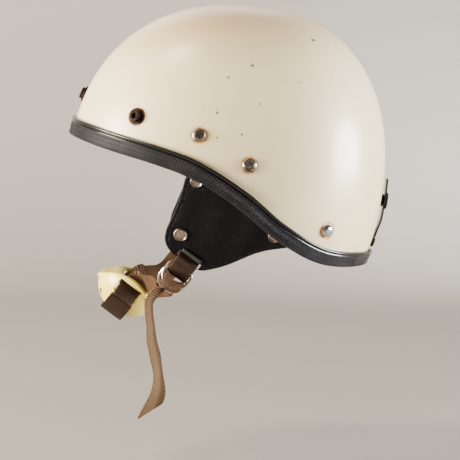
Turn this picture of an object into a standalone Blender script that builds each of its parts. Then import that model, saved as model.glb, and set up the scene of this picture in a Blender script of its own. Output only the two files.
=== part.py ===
"""A half-shell motorcycle helmet with ear flaps, a buckled chin strap and a chin cup.

Metres, +Z up, the front faces -Y and the wearer's left is +X. The origin is the middle of
the headband, where the head carries the helmet."""

import math

import bmesh
import bpy
from mathutils import Matrix, Vector

# Shell: a dome of two half super-ellipsoids that meet over the ears, tilted rear down
shell_half_width = 0.115
shell_front_reach = 0.1548
shell_rear_reach = 0.1270
shell_crown_height = 0.1539
shell_lower_depth = 0.1422
shell_centre_y = 0.0086
shell_centre_z = -0.0431
shell_tilt = 0.158
shell_plan_power = 2.15
shell_side_power = 2.25
shell_wall = 0.0040

# Rim of the shell, from the forehead to the nape
rim_front_y = -0.1450
rim_length = 0.2730
rim_front_z = 0.0006
rim_drop = 0.1171
rim_along_shares = (0.0, 0.13, 0.31, 0.42, 0.555, 0.68, 0.815, 1.0)
rim_down_shares = (0.0, 0.0905, 0.2092, 0.3083, 0.5124, 0.7558, 0.9368, 1.0)

# Rubber edge trim
fit_gap = 0.0003
curved_gap = 0.0008
lining_gap = 0.0013
trim_gap = 0.0007
pad_gap = 0.0004
trim_height = 0.0135
trim_rear_share = 0.80
trim_outer_wall = 0.0034
trim_inner_height = 0.0100
trim_inner_wall = 0.0014
trim_foot = 0.0026
trim_bead = 0.0009

# Liner, crown pad and bands
liner_wall = 0.0190
liner_rise = 0.0190
crown_pad_wall = 0.0070
crown_pad_angle = 0.75
band_wall = 0.0016
band_height = 0.0330
band_rise = 0.0030
brow_pad_wall = 0.0050
brow_pad_height = 0.0220

# Fasteners on the shell
shank_radius = 0.0018
washer_radius = 0.0052
washer_wall = 0.0008
shank_tail = 0.0009
visor_stud_radius = 0.0074
visor_stud_flange = 0.0012
visor_stud_post_radius = 0.0052
visor_stud_height = 0.0042
visor_stud_hole_radius = 0.0021
visor_stud_hole_depth = 0.0024
side_stud_y = -0.0804
side_stud_z = 0.0150
front_stud_z = 0.0321
screw_y = -0.0270
screw_z = 0.0000
screw_radius = 0.0060
screw_height = 0.0026
screw_slot_width = 0.0013
screw_slot_reach_share = 0.62
screw_crown_share = 0.4
strap_rivet_crown_share = 0.6
head_top_share = 0.7
snap_top_share = 0.85
screw_slot_depth = 0.0012
strap_rivet_y = 0.0155
strap_rivet_z = -0.0253
strap_rivet_radius = 0.0063
strap_rivet_height = 0.0022
strap_rivet_rim_share = 0.75
strap_rivet_dish_share = 0.90
nape_rivet_y = 0.0819
nape_rivet_rise = 0.0282
nape_rivet_radius = 0.0058
nape_rivet_height = 0.0034
nape_rivet_shoulder_share = 0.2

# Goggle strap on the rear of the shell
goggle_snap_rise = 0.0528
goggle_rivet_rise = 0.0158
goggle_tip_rise = 0.0722
goggle_bulge = -0.0012
goggle_strap_width = 0.0180
goggle_strap_wall = 0.0014
goggle_clip_height = 0.0084
goggle_clip_wall = 0.0012
goggle_bulge_share = 1.3
goggle_cap_spread_share = 1.6
goggle_cap_top_share = 0.75
goggle_base_radius = 0.0060
goggle_base_wall = 0.0008
goggle_post_radius = 0.0020
goggle_post_height = 0.0011
goggle_cap_radius = 0.0075
goggle_cap_height = 0.0019
goggle_neck_radius = 0.0030
goggle_socket_radius = 0.0054
goggle_socket_wall = 0.0009
goggle_socket_bore = 0.0026
goggle_rivet_radius = 0.0040
goggle_rivet_height = 0.0014

# Harness: the ear flaps and the strap loop lean forward about this line
harness_y = -0.0288
harness_z = -0.0413
harness_lean_angle = 0.6435
harness_run = 0.1000
harness_drop = 0.1000
flap_play = 0.0083
flap_yaw_angle = 0.090
flap_lean_angle = 0.349
flap_wall = 0.0024
strap_width = 0.0200
strap_wall = 0.0015
strap_seat_gap = 0.0022
slot_margin = 0.0016
slot_height = 0.0060
button_radius = 0.0062
button_height = 0.0018
snap_radius = 0.0056
snap_height = 0.0016
keeper_height = 0.0036
keeper_wall = 0.0020

# Double ring buckle
ring_wire = 0.0012
ring_depth = 0.0200
ring_side_play = 0.0008
ring_splay_angle = 0.45
ring_sink_angle = -0.07
ring_corner_share = 0.07
loop_slack = 0.0005

# Chin cup
cup_radius = 0.0360
cup_half_length = 0.0320
cup_power = 2.3
cup_wall = 0.0024
cup_bead = 0.0019
cup_saddle = 0.0170
cup_pad_wall = 0.0030
strap_cup_gap = 0.0011
sleeve_wall = 0.0007
sleeve_half_angle = 1.02
slot_angle = 1.25
slot_length = 0.0142
vent_turn_angle = 1.03
vent_deep_share = 0.59
vent_width = 0.0022
vent_length = 0.0046

# Flap outline as shares of the harness run and drop, from the front corner down and round to the rear
flap_outline_shares = (
    (-0.115, -0.07), (-0.11, 0.02), (-0.047, 0.177), (-0.006, 0.312), (0.019, 0.416),
    (0.041, 0.505), (0.075, 0.583), (0.125, 0.637), (0.20, 0.668), (0.30, 0.672),
    (0.42, 0.668), (0.504, 0.648), (0.575, 0.572), (0.65, 0.46), (0.706, 0.349),
    (0.768, 0.223), (0.832, 0.126), (0.90, 0.047), (0.955, -0.02), (0.96, -0.09),
)
button_run_share = 0.169
button_drop_share = 0.475
snap_run_shares = (-0.014, 0.803)
snap_drop_shares = (-0.014, -0.032)
strap_run_share = 0.365
slot_drop_share = 0.628

# Room for a strap between the shell and the liner
channel_run_share = 0.29
channel_top = 0.0560
channel_depth = 0.0040
swing_room = 0.0080

# Strap routes on the flap's plane: drop share and depth share of the harness drop, at the slot's run
behind_flap_shares = ((0.35, -0.042), (0.52, -0.042))
slot_stations_shares = ((0.585, -0.042), (0.606, -0.034), (0.628, -0.012), (0.650, 0.010))
ring_bar_drop_shares = (0.722, 0.792)
ring_bar_depth_share = 0.008
loop_entry_shares = (0.69, 0.022)
loop_return_shares = ((0.69, -0.036), (0.66, -0.052), (0.60, -0.062), (0.50, -0.063))
channel_strap_shares = (0.320, 0.05, -0.042)

cup_run_share = 0.100
cup_drop_share = 1.070

# From the slot in the cup up to the buckle: sideways share, run share, drop share, then the
# direction of the webbing's width in the same frame
cheek_stations_shares = (
    ((0.326, 0.100, 1.182), (0.0, 1.0, 0.0)),
    ((0.294, 0.106, 1.120), (0.0, 1.0, 0.05)),
    ((0.284, 0.132, 1.050), (0.02, 0.97, 0.20)),
    ((0.318, 0.172, 1.027), (0.05, 0.94, 0.33)),
    ((0.398, 0.208, 1.018), (0.12, 0.85, 0.50)),
    ((0.490, 0.262, 0.985), (0.15, 0.85, 0.50)),
)
buckle_stations_shares = (
    (1.035, -0.058), (0.985, -0.047), (0.935, -0.010), (0.880, 0.030), (0.838, 0.068),
    (0.842, 0.108), (0.875, 0.138), (0.915, 0.128), (0.930, 0.092), (0.932, 0.060),
)
right_flap_shares = ((0.365, 0.72, 0.012), (0.350, 0.83, -0.02))
right_cheek_shares = (
    ((0.610, 0.310, 0.900), (0.0, 0.98, 0.2)),
)
arc_reach = 1.075
bunched_share = 0.62
pad_reach_share = 0.55

# The hanging tail: shares inward from the flap's face, rearward and downward, then the direction
# of its width
tail_stations_shares = (
    ((0.222, 0.290, 0.921), (0.55, -0.45, -0.45)),
    ((0.247, 0.285, 1.060), (0.62, -0.50, -0.20)),
    ((0.277, 0.330, 1.145), (0.75, -0.45, 0.10)),
    ((0.307, 0.420, 1.245), (0.88, -0.38, 0.15)),
    ((0.327, 0.510, 1.350), (0.87, -0.42, 0.15)),
    ((0.342, 0.630, 1.455), (0.86, -0.44, 0.10)),
    ((0.352, 0.735, 1.560), (0.86, -0.42, 0.0)),
    ((0.357, 0.812, 1.670), (0.74, -0.52, 0.10)),
    ((0.367, 0.850, 1.765), (0.64, -0.62, 0.36)),
    ((0.377, 0.874, 1.866), (0.60, -0.62, 0.48)),
)
tail_slant_share = 0.90
tail_slant_start_share = 0.62

COLUMNS = 56
ROWS = 10
PAD_COLUMNS = 6
RING_SIDES = 8
ARC_STEPS = 12
STRAP_STEPS = 3
SLEEVE_STEPS = 16
CUP_SIDES = 32
CUP_ROWS = 7
CUP_PAD_SIDES = 20
CUP_PAD_ROWS = 3
TAIL_STEPS = 44
GOGGLE_STEPS = 20
ANCHOR_STEPS = 66
TURN_SIDES = 12
WASHER_SIDES = 10
OVERRUN = 0.002


def clear_scene():
    for old in list(bpy.data.objects):
        bpy.data.objects.remove(old, do_unlink=True)


def material(name, colour, roughness, metallic=0.0):
    made = bpy.data.materials.new(name)
    made.use_nodes = True
    shader = made.node_tree.nodes["Principled BSDF"]
    shader.inputs["Base Color"].default_value = (*colour, 1.0)
    shader.inputs["Roughness"].default_value = roughness
    shader.inputs["Metallic"].default_value = metallic
    made.diffuse_color = (*colour, 1.0)
    return made


def make_materials():
    return {
        "cream_paint": material("cream_paint", (0.72, 0.69, 0.60), 0.35),
        "black_rubber": material("black_rubber", (0.018, 0.017, 0.018), 0.6),
        "foam": material("foam", (0.75, 0.74, 0.70), 0.9),
        "lining": material("lining", (0.10, 0.08, 0.06), 0.9),
        "band_leather": material("band_leather", (0.12, 0.06, 0.03), 0.6),
        "brown_metal": material("brown_metal", (0.12, 0.055, 0.035), 0.45, 0.8),
        "plated_steel": material("plated_steel", (0.62, 0.58, 0.50), 0.28, 1.0),
        "black_leather": material("black_leather", (0.015, 0.015, 0.017), 0.45),
        "brown_leather": material("brown_leather", (0.10, 0.045, 0.035), 0.6),
        "webbing": material("webbing", (0.30, 0.19, 0.13), 0.85),
        "cup_plastic": material("cup_plastic", (0.80, 0.74, 0.52), 0.35),
    }


def smooth_between(places, values, at):
    """A smooth curve through hand-placed values, read at one place."""
    count = len(places)
    at = min(max(at, places[0]), places[-1])
    i = max(k for k in range(count - 1) if places[k] <= at)

    def slope(k):
        low, high = max(k - 1, 0), min(k + 1, count - 1)
        return (values[high] - values[low]) / (places[high] - places[low])

    step = places[i + 1] - places[i]
    s = (at - places[i]) / step
    rise = values[i + 1] - values[i]
    cubic = (slope(i) + slope(i + 1)) * step - 2 * rise
    square = 3 * rise - (2 * slope(i) + slope(i + 1)) * step
    return values[i] + s * (slope(i) * step + s * (square + s * cubic))


def signed_power(value, power):
    return math.copysign(abs(value) ** power, value)


def dome_point(around, down, offset=0.0):
    """A place on the dome. around is 0 at the left side and pi/2 at the rear; down is 0 at the crown."""
    reach = shell_rear_reach if math.sin(around) >= 0 else shell_front_reach
    height = shell_crown_height if math.cos(down) >= 0 else shell_lower_depth
    plan = 2 / shell_plan_power
    side = 2 / shell_side_power
    out = abs(math.sin(down)) ** side
    x = signed_power(math.cos(around), plan) * out
    u = signed_power(math.sin(around), plan) * out
    w = signed_power(math.cos(down), side)
    flat = (abs(x) ** shell_plan_power + abs(u) ** shell_plan_power) ** (1 / shell_plan_power)
    fade = flat ** (shell_side_power - shell_plan_power) if flat > 0 else 0.0
    normal = Vector((
        fade * signed_power(x, shell_plan_power - 1) / shell_half_width,
        fade * signed_power(u, shell_plan_power - 1) / reach,
        signed_power(w, shell_side_power - 1) / height,
    )).normalized()
    place = Vector((x * shell_half_width, u * reach, w * height)) + normal * offset
    cosine, sine = math.cos(shell_tilt), math.sin(shell_tilt)
    return Vector((
        place.x,
        shell_centre_y + place.y * cosine + place.z * sine,
        shell_centre_z - place.y * sine + place.z * cosine,
    ))


def dome_normal(around, down):
    return (dome_point(around, down, shell_wall) - dome_point(around, down)).normalized()


def rim_height(y):
    """Height of the rim at a distance from the front."""
    share = (y - rim_front_y) / rim_length
    return rim_front_z - rim_drop * smooth_between(rim_along_shares, rim_down_shares, share)


def halve(low, high, is_past):
    for _ in range(40):
        middle = (low + high) / 2
        if is_past(middle):
            high = middle
        else:
            low = middle
    return (low + high) / 2


def rim_down(around):
    def below(down):
        place = dome_point(around, down)
        return place.z < rim_height(place.y)

    return halve(0.4, 0.95 * math.pi, below)


def risen_down(around, rise):
    """The dome angle at a distance above the rim, measured square to the rim."""
    low = rim_down(around)
    if rise == 0:
        return low
    step = 0.01
    here = dome_point(around, low)
    along = dome_point(around + step, rim_down(around + step)) - here
    up = dome_point(around, low - step) - here
    slant = along.normalized().cross(up.normalized()).length

    def past(share):
        return (dome_point(around, low - share) - here).length * slant > abs(rise)

    turn = halve(0.0, 1.2, past)
    return low - turn if rise > 0 else low + turn


def find_on_dome(y, z):
    """The dome angles of the left-hand place at this distance from the front and height."""
    around, down = 0.0, math.pi / 2
    for _ in range(60):
        place = dome_point(around, down)
        around += (y - place.y) / shell_front_reach
        down -= (z - place.z) / shell_crown_height
    return around, down


def seat(y, z, side):
    """The place on the dome and its outward direction, on the left (1), right (-1) or middle (0)."""
    if side == 0:
        around = math.pi / 2 if y > 0 else -math.pi / 2
        down = halve(0.3, 2.6, lambda a: dome_point(around, a).z < z)
    else:
        around, down = find_on_dome(y, z)
    place, normal = dome_point(around, down), dome_normal(around, down)
    if side == 0:
        place.x = normal.x = 0.0
    else:
        place.x *= side
        normal.x *= side
    return place, normal.normalized()


def rear_seat(rise):
    """The place in the middle of the back this far above the rim, and its outward direction."""
    rim = dome_point(math.pi / 2, rim_down(math.pi / 2))
    return seat(shell_rear_reach, rim.z + rise, 0)


def nape_seat(side):
    """The place of a rivet by the nape, this far above the rim, and its outward direction."""
    return seat(nape_rivet_y, rim_height(nape_rivet_y) + nape_rivet_rise, side)


def solid(name, points, faces, look, smooth=True):
    mesh = bpy.data.meshes.new(name)
    mesh.from_pydata([tuple(p) for p in points], [], faces)
    shape = bmesh.new()
    shape.from_mesh(mesh)
    bmesh.ops.recalc_face_normals(shape, faces=shape.faces)
    shape.to_mesh(mesh)
    shape.free()
    if smooth:
        mesh.shade_smooth()
        mesh.set_sharp_from_angle(angle=0.6)
    mesh.materials.append(look)
    made = bpy.data.objects.new(name, mesh)
    bpy.context.scene.collection.objects.link(made)
    return made


def ring_faces(rings, count, closed_rings=False):
    """Four-sided faces between rings of points that follow one another."""
    faces = []
    last = rings if closed_rings else rings - 1
    for ring in range(last):
        for i in range(count):
            a, b = ring * count + i, ring * count + (i + 1) % count
            c = ((ring + 1) % rings) * count
            faces.append((a, b, c + (i + 1) % count, c + i))
    return faces


def around_angles(count):
    """Angles whose places are spread evenly over the super-ellipse of the plan."""
    return [2 * math.pi * i / count for i in range(count)]


def dome_cap(name, ends, outer, inner, look, columns, rows):
    """A closed cap of the dome between two depths; ends gives each column's lowest angle."""
    points, faces = [], []
    for offset in (outer, inner):
        start = len(points)
        points.append(dome_point(0.0, 0.0, offset))
        for row in range(1, rows + 1):
            for around, end in zip(around_angles(columns), ends):
                points.append(dome_point(around, end * row / rows, offset))
        for i in range(columns):
            faces.append((start, start + 1 + i, start + 1 + (i + 1) % columns))
        faces += [tuple(start + 1 + k for k in f) for f in ring_faces(rows, columns)]
    outer_rim = 1 + (rows - 1) * columns
    inner_rim = outer_rim + rows * columns + 1
    for i in range(columns):
        j = (i + 1) % columns
        faces.append((outer_rim + i, outer_rim + j, inner_rim + j, inner_rim + i))
    return solid(name, points, faces, look)


def dome_band(name, arounds, profile, look, closed=True):
    """A profile of (rise above the rim, depth) carried along the rim; it may change with the angle."""
    points = []
    for around in arounds:
        section = profile(around) if callable(profile) else profile
        for rise, depth in section:
            points.append(dome_point(around, risen_down(around, rise), depth))
    count = len(section)
    faces = ring_faces(len(arounds), count, closed)
    if not closed:
        faces.append(tuple(range(count)))
        faces.append(tuple(range(len(points) - count, len(points))))
    return solid(name, points, faces, look)


def turning_frame(place, axis):
    """A matrix whose Z is the axis and whose origin is the place."""
    return Matrix.Translation(place) @ axis.to_track_quat("Z", "Y").to_matrix().to_4x4()


def turned(name, profile, place, axis, look, sides=TURN_SIDES):
    """A profile of (radius, height) turned about the axis; a profile off the axis is closed to a ring."""
    frame = turning_frame(place, axis)
    points, index = [], []
    for radius, height in profile:
        if radius == 0:
            index.append([len(points)] * sides)
            points.append(frame @ Vector((0, 0, height)))
            continue
        index.append(list(range(len(points), len(points) + sides)))
        for i in range(sides):
            turn = 2 * math.pi * i / sides
            points.append(frame @ Vector((radius * math.cos(turn), radius * math.sin(turn), height)))
    is_ring = profile[0][0] > 0
    pairs = list(zip(index, index[1:]))
    if is_ring:
        pairs.append((index[-1], index[0]))
    faces = []
    for low, high in pairs:
        for i in range(sides):
            j = (i + 1) % sides
            corners = [low[i], low[j], high[j], high[i]]
            faces.append(tuple(dict.fromkeys(corners)))
    return solid(name, points, [f for f in faces if len(f) > 2], look)


def curve_between(stations, share):
    """A smooth curve through stations of equal-length tuples, at a share of the way."""
    places = list(range(len(stations)))
    at = share * (len(stations) - 1)
    return [smooth_between(places, values, at) for values in zip(*stations)]


def ribbon(name, stations, width, wall, look, steps, slant=0.0):
    """A flat strap along stations of (place, width direction).

    The direction's length is the share of the full width, where the webbing is bunched. The far
    end is cut square, or with one corner ahead of the other by the slant."""
    rows = []
    table = [(*place, *across) for place, across in stations]
    reads = [curve_between(table, k / steps) for k in range(steps + 1)]
    for k, read in enumerate(reads):
        before, after = reads[max(k - 1, 0)], reads[min(k + 1, steps)]
        forward = (Vector(after[:3]) - Vector(before[:3])).normalized()
        across = Vector(read[3:])
        full = width * across.length
        across = (across - forward * across.dot(forward)).normalized()
        face = forward.cross(across)
        late = max(k / steps - tail_slant_start_share, 0) / (1 - tail_slant_start_share)
        edge = across * full / 2 + forward * slant / 2 * late * late
        for w, t in ((-1, -1), (1, -1), (1, 1), (-1, 1)):
            rows.append(Vector(read[:3]) + edge * w + face * (t * wall / 2))
    faces = ring_faces(steps + 1, 4)
    faces += [(0, 1, 2, 3), tuple(range(len(rows) - 4, len(rows)))]
    return solid(name, rows, faces, look)


def slab(name, outline, place_of, low, high, look):
    """A flat outline given thickness; place_of maps (run, drop, depth) to a place."""
    points = [place_of(run, drop, low) for run, drop in outline]
    points += [place_of(run, drop, high) for run, drop in outline]
    count = len(outline)
    faces = [tuple(range(count)), tuple(range(count, 2 * count))]
    for i in range(count):
        j = (i + 1) % count
        faces.append((i, j, count + j, count + i))
    return solid(name, points, faces, look, smooth=False)


def helper(cutter):
    cutter.hide_render = True
    cutter.display_type = "WIRE"
    return cutter


def joined_cutter(name, pieces):
    """Several cutters as one guide object."""
    shape = bmesh.new()
    for piece in pieces:
        shape.from_mesh(piece.data)
    mesh = bpy.data.meshes.new(name)
    shape.to_mesh(mesh)
    shape.free()
    for piece in pieces:
        bpy.data.objects.remove(piece, do_unlink=True)
    made = bpy.data.objects.new(name, mesh)
    bpy.context.scene.collection.objects.link(made)
    return helper(made)


def cut(target, cutter):
    modifier = target.modifiers.new("cut_" + cutter.name, "BOOLEAN")
    modifier.operation = "DIFFERENCE"
    modifier.solver = "EXACT"
    modifier.object = cutter
    return modifier


def soften(target, width, segments=1):
    modifier = target.modifiers.new("edges", "BEVEL")
    modifier.width = width
    modifier.segments = segments
    modifier.limit_method = "ANGLE"
    modifier.angle_limit = 0.9
    return modifier


def harness_place(x, run, drop):
    """A place in the harness frame: sideways, rearward along the flap's top edge, and down its lean."""
    cosine, sine = math.cos(harness_lean_angle), math.sin(harness_lean_angle)
    return Vector((
        x,
        harness_y + run * cosine - drop * sine,
        harness_z - run * sine - drop * cosine,
    ))


def flap_face():
    """How far out the flap's face lies at its top edge."""
    return shell_half_width - shell_wall - 2 * fit_gap - trim_inner_wall - flap_play


def flap_place(run, drop, depth):
    """A place on the flap's own plane, which leans inward going down and to the rear; depth is outward."""
    rearward = Vector((-math.sin(flap_yaw_angle), math.cos(flap_yaw_angle), 0))
    level = math.cos(flap_lean_angle)
    outward = Vector((level * rearward.y, -level * rearward.x, math.sin(flap_lean_angle)))
    downward = outward.cross(rearward)
    place = Vector((flap_face(), 0, 0)) + rearward * run + downward * drop + outward * depth
    return harness_place(*place)


def flap_direction(run, drop, depth):
    return (flap_place(run, drop, depth) - flap_place(0, 0, 0)).normalized()


def sided(vector, side):
    return Vector((vector.x * side, vector.y, vector.z))


def fastener_holes(places, radius, low, high):
    pieces = []
    for place, axis in places:
        profile = [(0, low), (radius, low), (radius, high), (0, high)]
        pieces.append(turned("hole", profile, place, axis, looks["foam"]))
    return pieces


def shell_seats():
    """Every place where a shank goes through the shell, by name."""
    seats = {
        "front_visor_stud": seat(-shell_front_reach, front_stud_z, 0),
        "goggle_snap_stud": rear_seat(goggle_snap_rise),
        "goggle_strap_rivet": rear_seat(goggle_rivet_rise),
    }
    for side, word in ((1, "left"), (-1, "right")):
        seats[word + "_visor_stud"] = seat(side_stud_y, side_stud_z, side)
        seats[word + "_liner_screw"] = seat(screw_y, screw_z, side)
        seats[word + "_strap_rivet"] = seat(strap_rivet_y, strap_rivet_z, side)
        seats[word + "_nape_rivet"] = nape_seat(side)
    return seats


def washer_top(name):
    """How deep under the shell's face the washer of a fastener starts."""
    under_strap = strap_seat_gap + strap_wall if name.endswith("strap_rivet") and "goggle" not in name else 0
    return -shell_wall - curved_gap - under_strap


def make_shell(seats):
    ends = [rim_down(around) for around in around_angles(COLUMNS)]
    shell = dome_cap("outer_shell", ends, 0.0, -shell_wall, looks["cream_paint"], COLUMNS, ROWS)
    depth = shell_wall + OVERRUN
    holes = fastener_holes(seats.values(), shank_radius + fit_gap, -depth, OVERRUN)
    cut(shell, joined_cutter("shell_holes", holes))
    return shell


def make_trim():
    outer = trim_gap + trim_outer_wall
    inner = -shell_wall - trim_gap

    def profile_at(around):
        top = trim_height * (1 - (1 - trim_rear_share) * max(math.sin(around), 0) ** 2)
        return [
            (top, trim_gap),
            (top, outer - trim_bead),
            (top - trim_bead, outer),
            (top / 2, outer),
            (-trim_foot + trim_bead, outer),
            (-trim_foot, outer - trim_bead),
            (-trim_foot, inner),
            (-trim_foot + trim_bead, inner - trim_inner_wall),
            (trim_inner_height, inner - trim_inner_wall),
            (trim_inner_height, inner),
            (-trim_gap, inner),
            (-trim_gap, trim_gap),
            (top / 2, trim_gap),
        ]

    return dome_band("edge_trim", around_angles(COLUMNS), profile_at, looks["black_rubber"])


def strap_channel(side):
    """The space beside the liner for one strap, with room to swing."""
    room = strap_width / 2 + slot_margin + swing_room
    high = harness_drop
    middle = channel_run_share * harness_run
    box = [(middle - room, -channel_top), (middle + room, -channel_top),
           (middle + room, high), (middle - room, high)]
    inner = flap_face() - channel_depth

    def place_of(run, drop, x):
        return sided(harness_place(x, run, drop), side)

    return slab("channel", box, place_of, inner, shell_half_width + OVERRUN, looks["foam"])


def make_liner(seats):
    ends = [risen_down(around, liner_rise) for around in around_angles(COLUMNS)]
    outer = -shell_wall - curved_gap
    liner = dome_cap("impact_liner", ends, outer, outer - liner_wall, looks["foam"], COLUMNS, ROWS - 3)
    pocket = washer_wall + shank_tail + 3 * fit_gap
    pieces = []
    for name, (place, axis) in seats.items():
        pieces += fastener_holes([(place, axis)], washer_radius + fit_gap, washer_top(name) - pocket, 0)
    pieces += [strap_channel(side) for side in (1, -1)]
    cut(liner, joined_cutter("liner_pockets", pieces))
    return liner


def make_linings():
    inner = -shell_wall - curved_gap - liner_wall - lining_gap
    ends = [crown_pad_angle] * (COLUMNS // 2)
    dome_cap("crown_pad", ends, inner, inner - crown_pad_wall, looks["lining"], COLUMNS // 2, 5)
    low, high = liner_rise + band_rise, liner_rise + band_rise + band_height
    middle = low + brow_pad_height
    profile = [(low, inner), (middle, inner), (high, inner),
               (high, inner - band_wall), (middle, inner - band_wall), (low, inner - band_wall)]
    dome_band("sweat_band", around_angles(COLUMNS), profile, looks["band_leather"])
    inner -= band_wall + pad_gap
    high = middle
    profile = [(low, inner), (high, inner), (high - brow_pad_wall / 2, inner - brow_pad_wall),
               (low + brow_pad_wall / 2, inner - brow_pad_wall)]
    for name, middle in (("brow_pad", -COLUMNS // 4), ("nape_pad", COLUMNS // 4)):
        arounds = [2 * math.pi * (middle + i) / COLUMNS for i in range(-PAD_COLUMNS, PAD_COLUMNS + 1)]
        dome_band(name, arounds, profile, looks["lining"], closed=False)


def shank_profile(name, radius, height, crown=1.0):
    """Half-section of a fastener: its shank, the underside of its head and the head's edge."""
    tail = washer_top(name) - washer_wall - shank_tail
    return [
        (0, tail),
        (shank_radius, tail),
        (shank_radius, fit_gap),
        (radius, fit_gap),
        (radius, fit_gap + height * crown),
    ]


def make_washer(name, place, axis):
    top = washer_top(name)
    profile = [
        (shank_radius + fit_gap, top - washer_wall),
        (washer_radius, top - washer_wall),
        (washer_radius, top),
        (shank_radius + fit_gap, top),
    ]
    turned(name + "_washer", profile, place, axis, looks["plated_steel"], WASHER_SIDES)


def visor_stud_profile(name):
    top = fit_gap + visor_stud_height
    post = visor_stud_post_radius
    profile = shank_profile(name, visor_stud_radius, visor_stud_flange)
    profile[-1] = (visor_stud_radius, fit_gap + visor_stud_flange / 2)
    profile += [
        (post, fit_gap + visor_stud_flange),
        (post, top),
        (visor_stud_hole_radius, top),
        (visor_stud_hole_radius, top - visor_stud_hole_depth),
        (0, top - visor_stud_hole_depth),
    ]
    return profile


def make_screw(name, place, axis):
    top = fit_gap + screw_height
    profile = shank_profile(name, screw_radius, screw_height, screw_crown_share)
    profile += [(head_top_share * screw_radius, top), (0, top)]
    screw = turned(name, profile, place, axis, looks["plated_steel"])
    frame = turning_frame(place, axis)
    arms = []
    for turn in (0, 1):
        reach = [screw_slot_reach_share * screw_radius, screw_slot_width / 2]
        half_x, half_y = reach[turn], reach[1 - turn]
        outline = [(-half_x, -half_y), (half_x, -half_y), (half_x, half_y), (-half_x, half_y)]
        bottom = top - screw_slot_depth * (1 + turn / 8)

        def place_of(x, y, z):
            return frame @ Vector((x, y, z))

        arms.append(slab("arm", outline, place_of, bottom, top + OVERRUN, looks["foam"]))
    for number, arm in enumerate(arms):
        arm.name = name + "_cross" + str(number)
        cut(screw, helper(arm))


def make_shell_fasteners(seats):
    for name, (place, axis) in seats.items():
        make_washer(name, place, axis)
        if name.endswith("visor_stud"):
            turned(name, visor_stud_profile(name), place, axis, looks["brown_metal"])
        elif name.endswith("liner_screw"):
            make_screw(name, place, axis)
        elif name.endswith("strap_rivet") and "goggle" not in name:
            top = fit_gap + strap_rivet_height
            profile = shank_profile(name, strap_rivet_radius, strap_rivet_height, strap_rivet_crown_share)
            rim, dish = strap_rivet_rim_share * strap_rivet_radius, strap_rivet_dish_share * top
            profile += [(rim + fit_gap, top), (rim - fit_gap, dish), (0, dish)]
            turned(name, profile, place, axis, looks["plated_steel"])
        elif name.endswith("nape_rivet"):
            low = nape_rivet_shoulder_share
            profile = shank_profile(name, nape_rivet_radius, nape_rivet_height, low)
            for turn in (0.4, 0.8, 1.2):
                rise = nape_rivet_height * (low + (1 - low) * math.sin(turn))
                profile.append((nape_rivet_radius * math.cos(turn), fit_gap + rise))
            profile.append((0, fit_gap + nape_rivet_height))
            turned(name, profile, place, axis, looks["plated_steel"])


def goggle_stack():
    """Depth of the strap's underside: over the snap's base and socket."""
    return 3 * fit_gap + goggle_base_wall + goggle_socket_wall


def goggle_strap_foot(seats):
    """The underside of the strap's lower end, just above the clip."""
    place, axis = seats["goggle_strap_rivet"]
    up = Vector((0, -axis.z, axis.y)).normalized()
    return place + axis * curved_gap + up * (goggle_clip_height / 2 + 2 * fit_gap)


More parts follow.
